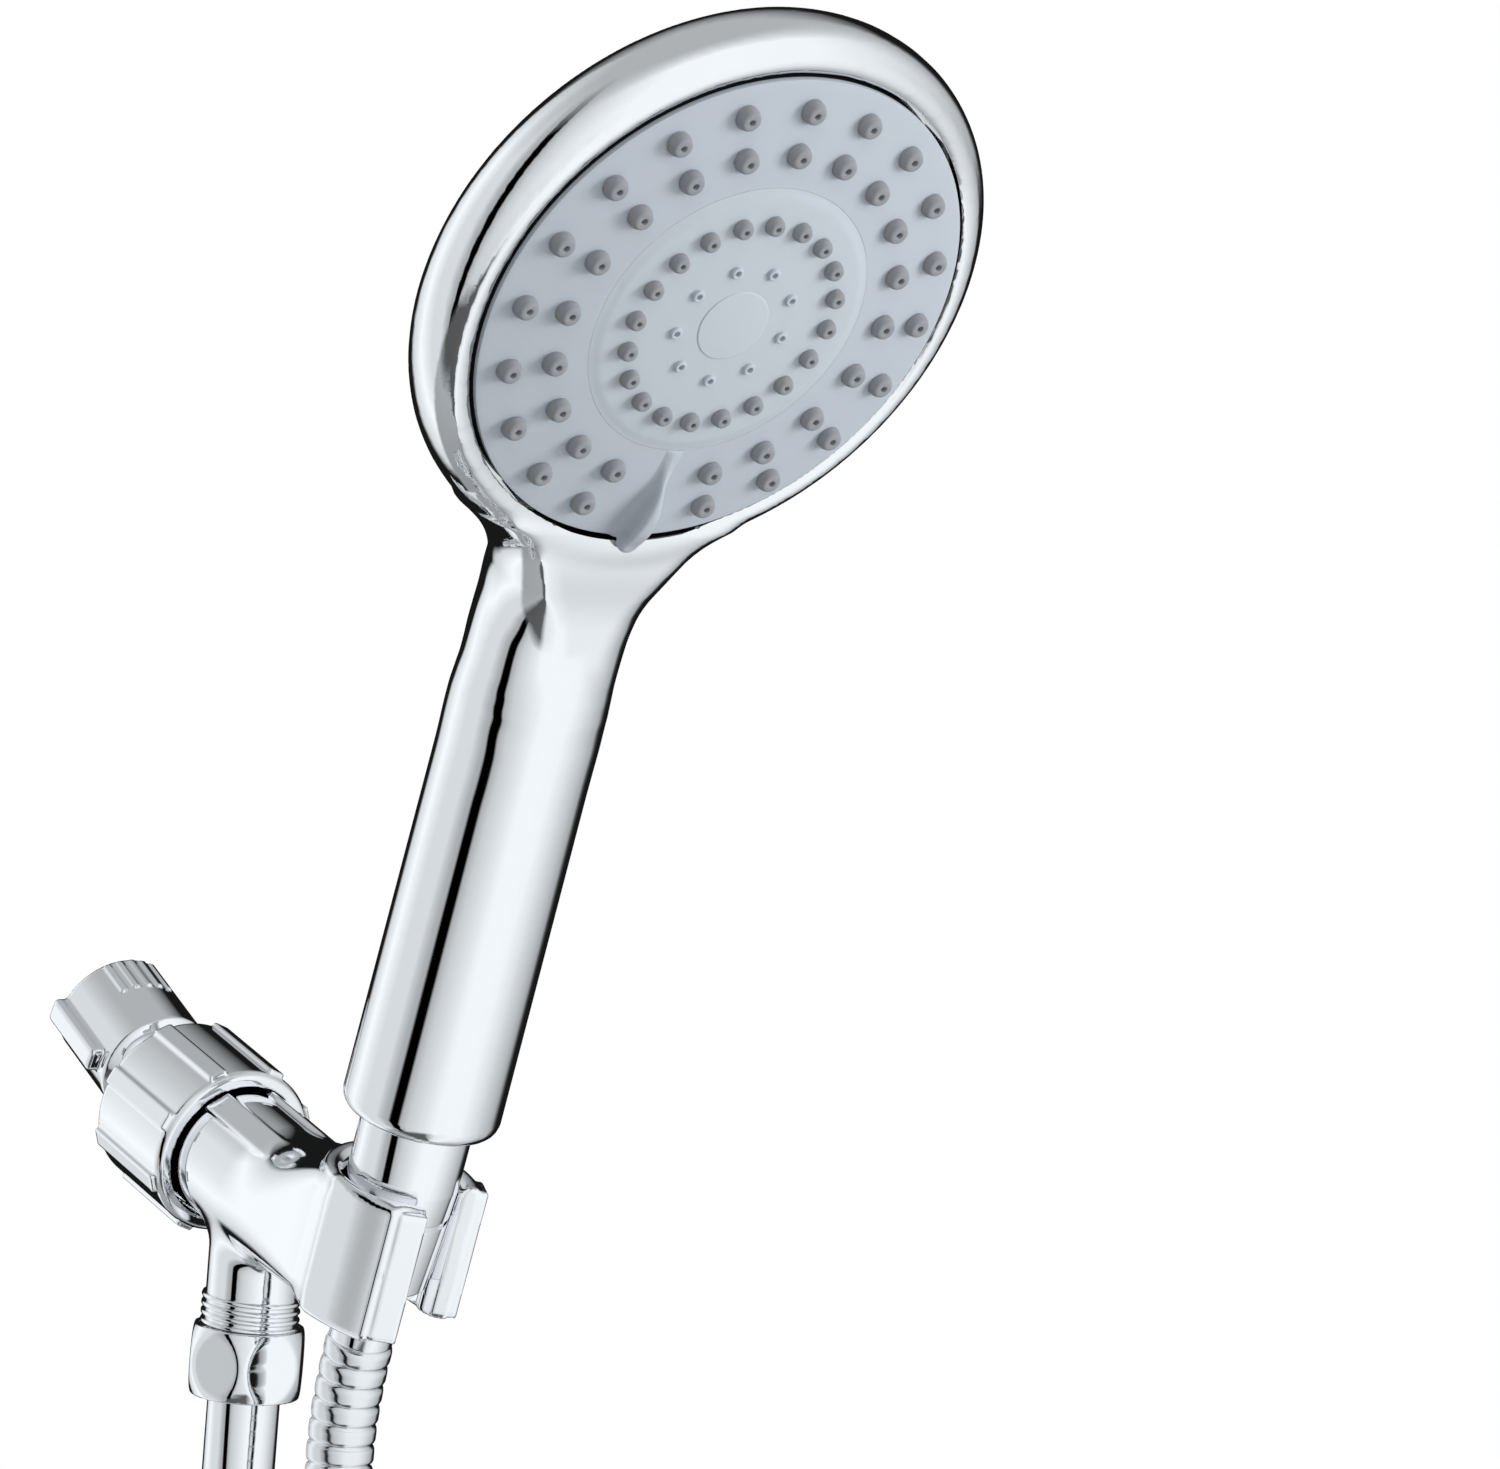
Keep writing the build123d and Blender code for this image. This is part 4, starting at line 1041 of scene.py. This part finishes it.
class SHOWER_OT_hose_ends(Operator):
    """Cone nut, ferrule, hexagon nut and sleeve"""

    bl_idname = "shower.hose_ends"
    bl_label = "Hose ends"

    def execute(self, context):
        cone = [(10.44, -0.6, 0), (11.5, -0.6, 0.5), (11.5, -13.8, 2.0), (11.14, -20.0, 0.1)]
        cone += [(10.54, -20.0, 0.1), (10.48, -21.2, 0.1), (11.08, -21.2, 0.1), (10.2, -36.5, 0.5)]
        cone += [(4.75, -36.5, 0), (4.75, -13.6, 0), (10.44, -13.6, 0)]
        cone = softened(cone)
        collar = softened([(4.75, -51.5, 0), (6.6, -51.5), (6.6, -36.65), (4.75, -36.65, 0)], 0.6)
        sleeve = softened([(4.75, 46.45, 0), (7.6, 46.45, 0.7), (7.6, 64.3, 0.7), (4.75, 64.3, 0)], 0.6)
        turnings = (
            ("cone_nut", cone, handle_frame, 160, "hand_shower"),
            ("upper_ferrule", collar, handle_frame, 128, "hose_end"),
            ("crimp_sleeve", sleeve, outlet_frame, 128, "bracket"),
        )
        for node, outline, place, segments, body in turnings:
            piece = lathed(node + "_chrome", outline, place, segments)
            finished(piece, body, "chrome_metal", "bright_chrome", node)
        barrel = [(10.48, 31.5), (11.4, 31.5)]
        barrel += arc_points((11.4, 31.5), (12.95, 38.9), (11.4, 46.3), 13)[1:]
        barrel += [(4.75, 46.3), (4.75, 42.7), (10.48, 42.7)]

        def field(points):
            flats = folded(points, 6, 36.5)[:, 0] - 11.6
            return smooth_max(outline_distance(points, barrel), flats, 0.35)

        piece = moulded("hex_nut_chrome", field, (-15, -15, 30), (15, 15, 48), 0.35, outlet_frame)
        finished(piece, "outlet_nut", "chrome_metal", "bright_chrome", "hex_nut")
        return {"FINISHED"}


# Hose route, in metres: the control points of the upper run and of the return run
upper_route = [
    (0.0, -0.0965, -0.06489),
    (0.0, -0.08982, -0.07943),
    (0.0, -0.08742, -0.10343),
]
return_route = [
    (0.0, -0.05016, -0.09718),
    (0.0, -0.04821, -0.11104),
]
coil_height = -0.262
coil_front = -0.087
coil_turns = 2.5
bend_radius = 0.055


def coil_place(turn, sizes):
    """Place and heading on the coil after a number of turns from its left side, going down."""
    angle = 2 * math.pi * turn
    radius, pitch = sizes.coil_radius, sizes.coil_pitch
    drop = radius * math.sin(angle)
    place = Vector((-radius * math.cos(angle), coil_front + pitch * turn, coil_height - drop))
    going = Vector((radius * math.sin(angle), pitch / (2 * math.pi), -radius * math.cos(angle)))
    return place, going.normalized()


def side_step(entry, going, side, start_y, sizes):
    """Corners of the bend from the middle out to where the hose enters the coil."""
    turn = math.acos(1 - sizes.coil_radius / (2 * bend_radius))
    run = 2 * bend_radius * math.tan(turn / 4)
    last = entry - going * run
    shallow = Vector((run * math.sin(turn / 2), run * math.cos(turn / 2)))
    steep = Vector((run * math.sin(turn), run * math.cos(turn)))
    offsets = [shallow + steep + shallow, shallow + steep, shallow]
    corners = []
    for inward, up in offsets:
        share = up / offsets[0][1]
        corners.append(Vector((last.x - side * inward, last.y + (start_y - last.y) * share, last.z + up)))
    return corners + [last, entry]


def hose_routes(sizes):
    """Control points of the upper run, and of the coil with the return run."""
    stub = 2 * sizes.hose_radius
    first, first_going = coil_place(0, sizes)
    last, last_going = coil_place(coil_turns, sizes)
    entry = first - first_going * stub
    leave = last + last_going * stub
    upper = [Vector(point) for point in upper_route]
    upper += side_step(entry, first_going, -1, upper[-1].y, sizes)
    coil = [entry]
    count = round(sizes.coil_points * coil_turns)
    spread = 1 / (0.5 + 0.5 * math.cos(math.pi / sizes.coil_points))
    for index in range(count):
        place, _ = coil_place((index + 0.5) / sizes.coil_points, sizes)
        middle = Vector((0, place.y, coil_height))
        coil.append(middle + (place - middle) * spread)
    back = [Vector(point) for point in return_route]
    back += side_step(leave, -last_going, 1, back[-1].y + 0.002, sizes)
    return upper, coil + back[::-1]


def spline_object(name, points):
    """Curve of one NURBS spline with these control points."""
    curve = bpy.data.curves.new(name, "CURVE")
    curve.dimensions = "3D"
    curve.resolution_u = 24
    spline = curve.splines.new("NURBS")
    spline.points.add(len(points) - 1)
    for point, place in zip(spline.points, points):
        point.co = (*place, 1)
    spline.order_u = 3
    spline.use_endpoint_u = True
    return new_piece(name, curve)


class SHOWER_OT_hose(Operator):
    """Ribbed hose: the run from the handle, and the coil with the run back to the outlet"""

    bl_idname = "shower.hose"
    bl_label = "Hose"

    def tube(self, name, points, sizes, group):
        line = spline_object(name + "_line", points)
        graph = bpy.context.evaluated_depsgraph_get()
        path_mesh = bpy.data.meshes.new_from_object(line.evaluated_get(graph), depsgraph=graph)
        path = [vertex.co.copy() for vertex in path_mesh.vertices]
        bpy.data.meshes.remove(path_mesh)
        return grown(name, line, group, Pitch=sizes.rib_pitch, Crest=sizes.hose_radius), path

    def execute(self, context):
        sizes = context.scene.shower_sizes
        upper, rest = hose_routes(sizes)
        group = rib_group()
        run, run_path = self.tube("hose_run", upper, sizes, group)
        coil, coil_path = self.tube("hose_coil_ribbed", rest, sizes, group)

        def length(path):
            return sum((b - a).length for a, b in zip(path, path[1:]))

        finished(coil, "bracket", "hose_silver", "hose_chrome", "hose_coil", "hose_return")
        painted(run, "hose_chrome")
        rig.blend(run, "bracket", "hose_end", start=upper[-1], end=upper[0])
        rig.slot(run, "hose_silver")
        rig.replaces(run, "hose_upper")
        facts = {"diameter": 2 * sizes.hose_radius, "far_end": "object", "stiffness": "limp"}
        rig.cord(run, exit=upper[0], length=round(length(run_path), 3), lay="hanging", path=run_path, **facts)
        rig.cord(
            coil, exit=rest[-1], length=round(length(coil_path), 3), lay="coiled", path=coil_path, **facts
        )
        return {"FINISHED"}


class SHOWER_OT_inner_works(Operator):
    """Materials of the solids that stay as they are"""

    bl_idname = "shower.inner_works"
    bl_label = "Inner works"

    def execute(self, context):
        slots = {
            "white_plastic": "inner_plastic",
            "black_rubber": "seal_rubber",
            "brass": "turned_brass",
            "steel": "screw_steel",
        }
        for part in frame["record"]["subparts"]:
            if part["material_slot"] in slots:
                painted(frame["nodes"][part["node"]], slots[part["material_slot"]])
        painted(frame["nodes"]["inlet_nipple"], "bright_chrome")
        return {"FINISHED"}


# Camera: place in metres, degrees that it is turned to the right, and lens in millimetres
camera_place = (-0.7901, -1.2864, 0.0583)
camera_turn = 36.77
camera_lens = 168.0

# Room that the chrome mirrors: its tint, its ceiling, and the share of its light that dull pieces get
room_tint = (0.95, 0.985, 1.0)
ceiling = 0.5
room_light = 0.55

# Bands round the room and its floor: degrees to the right of the camera, and brightness
room_bands = (
    (-180, 0.01), (-147, 0.01), (-140, 0.75), (-117, 1.1), (-104, 0.92), (-93, 0.8), (-72, 0.8), (-60, 0.5),
    (-53, 0.45), (-51, 0.0), (-39, 0.0), (-37, 0.48), (-25, 0.69), (0, 0.88), (22, 1.05), (45, 1.06),
    (72, 1.04), (93, 0.88), (119, 0.62), (135, 0.45), (144, 0.06), (150, 0.01), (180, 0.01),
)
ground_bands = (
    (-180, 0.3), (-75, 0.45), (-55, 0.1), (3, 0.12), (22, 0.9), (60, 1.05),
    (93, 0.88), (119, 0.62), (180, 0.3),
)


class SHOWER_OT_stage(Operator):
    """Pale floor, studio light and the camera"""

    bl_idname = "shower.stage"
    bl_label = "Stage"

    def world(self, scene):
        """White to the camera, and to the chrome a light room with upright dark bands."""
        world = bpy.data.worlds.new("studio")
        world.use_nodes = True
        scene.world = world
        tree = world.node_tree
        tree.nodes.clear()
        place = tree.nodes.new("ShaderNodeTexCoord")
        turn = add_node(
            tree,
            "ShaderNodeVectorRotate",
            {"rotation_type": "Z_AXIS"},
            Vector=place.outputs["Generated"],
            Angle=math.radians(180 + camera_turn),
        )
        parts = add_node(tree, "ShaderNodeSeparateXYZ", Vector=turn.outputs[0])
        around = maths(tree, "ARCTAN2", parts.outputs["X"], parts.outputs["Y"])
        share = map_range(tree, around, From_Min=math.pi, From_Max=-math.pi)
        height = map_range(tree, parts.outputs["Z"], From_Min=0.55, From_Max=0.9)
        depth = map_range(tree, parts.outputs["Z"], From_Min=-0.73, From_Max=-0.8)

        def tinted(level):
            return (*(level * part for part in room_tint), 1)

        def ring(bands):
            """Brightness round the room, from a list of angles and levels."""
            ramp = tree.nodes.new("ShaderNodeValToRGB")
            stops = ramp.color_ramp.elements
            while len(stops) < len(bands):
                stops.new(1.0)
            for stop, (angle, level) in zip(stops, bands):
                stop.position = (angle + 180) / 360
                stop.color = tinted(level)
            tree.links.new(share, ramp.inputs["Fac"])
            return ramp.outputs["Color"]

        def layer(factor, below, above):
            mix = add_node(tree, "ShaderNodeMix", {"data_type": "RGBA"}, Factor=factor, A=below, B=above)
            return mix.outputs["Result"]

        walls = layer(depth, ring(room_bands), ring(ground_bands))
        seen = tree.nodes.new("ShaderNodeLightPath")
        direct = maths(tree, "MAXIMUM", seen.outputs["Is Camera Ray"], seen.outputs["Is Transmission Ray"])
        strength = map_range(tree, seen.outputs["Is Diffuse Ray"], To_Min=1.0, To_Max=room_light)
        white = add_node(tree, "ShaderNodeBackground", Color=(1, 1, 1, 1))
        room_colour = layer(height, walls, tinted(ceiling))
        room = add_node(tree, "ShaderNodeBackground", Color=room_colour, Strength=strength)
        choice = tree.nodes.new("ShaderNodeMixShader")
        for socket, source in zip(choice.inputs, (direct, room.outputs[0], white.outputs[0])):
            feed(tree, socket, source)
        add_node(tree, "ShaderNodeOutputWorld", Surface=choice.outputs[0])

    def execute(self, context):
        scene = context.scene
        scene.view_settings.view_transform = "Standard"
        self.world(scene)
        camera = bpy.data.objects.new("camera", bpy.data.cameras.new("camera"))
        scene.collection.objects.link(camera)
        camera.location = camera_place
        camera.rotation_euler = (math.pi / 2, 0, -math.radians(camera_turn))
        camera.data.lens = camera_lens
        camera.data.sensor_width = 36.0
        camera.data.clip_end = 50
        scene.camera = camera

        floor_mesh = bpy.data.meshes.new("floor")
        shape = bmesh.new()
        bmesh.ops.create_circle(shape, cap_ends=True, segments=96, radius=1.4)
        shape.to_mesh(floor_mesh)
        shape.free()
        floor = new_piece("floor", floor_mesh)
        floor.location = (0, -0.1, solid_box[0][2] - 0.03)
        floor_mesh.materials.append(new_material("pale_floor", (0.86, 0.86, 0.86), 0.0, 0.8))
        floor.visible_glossy = False
        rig.stage(floor)

        def lamp(name, place, target, size, power):
            light = bpy.data.lights.new(name, "AREA")
            light.shape = "RECTANGLE"
            light.size, light.size_y = size
            light.energy = power
            item = bpy.data.objects.new(name, light)
            scene.collection.objects.link(item)
            item.location = place
            item.rotation_euler = (Vector(target) - Vector(place)).to_track_quat("-Z", "Y").to_euler()
            item.visible_glossy = False

        middle = (0, -0.12, 0.05)
        lamp("key", (1.1, -1.25, 0.1), middle, (0.6, 0.8), 17.0)
        lamp("fill", (-0.6, -1.4, 1.2), middle, (0.9, 1.2), 5.0)
        return {"FINISHED"}


class SHOWER_PT_panel(Panel):
    """Steps and sizes of the shower's looks"""

    bl_label = "Hand shower"
    bl_space_type = "VIEW_3D"
    bl_region_type = "UI"
    bl_category = "Shower"

    def draw(self, context):
        for step in steps:
            self.layout.operator(step.bl_idname)
        for group in (context.scene.shower_sizes, context.scene.shower_finishes):
            for name in group.__annotations__:
                self.layout.prop(group, name)


steps = (
    SHOWER_OT_stage,
    SHOWER_OT_hose,
    SHOWER_OT_hand_shower,
    SHOWER_OT_spray_face,
    SHOWER_OT_nozzles,
    SHOWER_OT_bracket,
    SHOWER_OT_ball_joint,
    SHOWER_OT_hose_ends,
    SHOWER_OT_inner_works,
)
classes = (ShowerSizes, ShowerFinishes, *steps, SHOWER_PT_panel)


def register():
    for item in classes:
        bpy.utils.register_class(item)
    bpy.types.Scene.shower_sizes = PointerProperty(type=ShowerSizes)
    bpy.types.Scene.shower_finishes = PointerProperty(type=ShowerFinishes)


def unregister():
    del bpy.types.Scene.shower_finishes
    del bpy.types.Scene.shower_sizes
    for item in reversed(classes):
        bpy.utils.unregister_class(item)


def main():
    register()
    for step in steps:
        group, name = step.bl_idname.split(".")
        getattr(getattr(bpy.ops, group), name)()
    bpy.context.view_layer.update()
    boxes = {"solids": [list(corner) for corner in solid_box], "looks": [list(corner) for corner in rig.bounds()]}
    with open("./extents.json", "w") as file:
        json.dump(boxes, file)


if __name__ == "__main__":
    main()
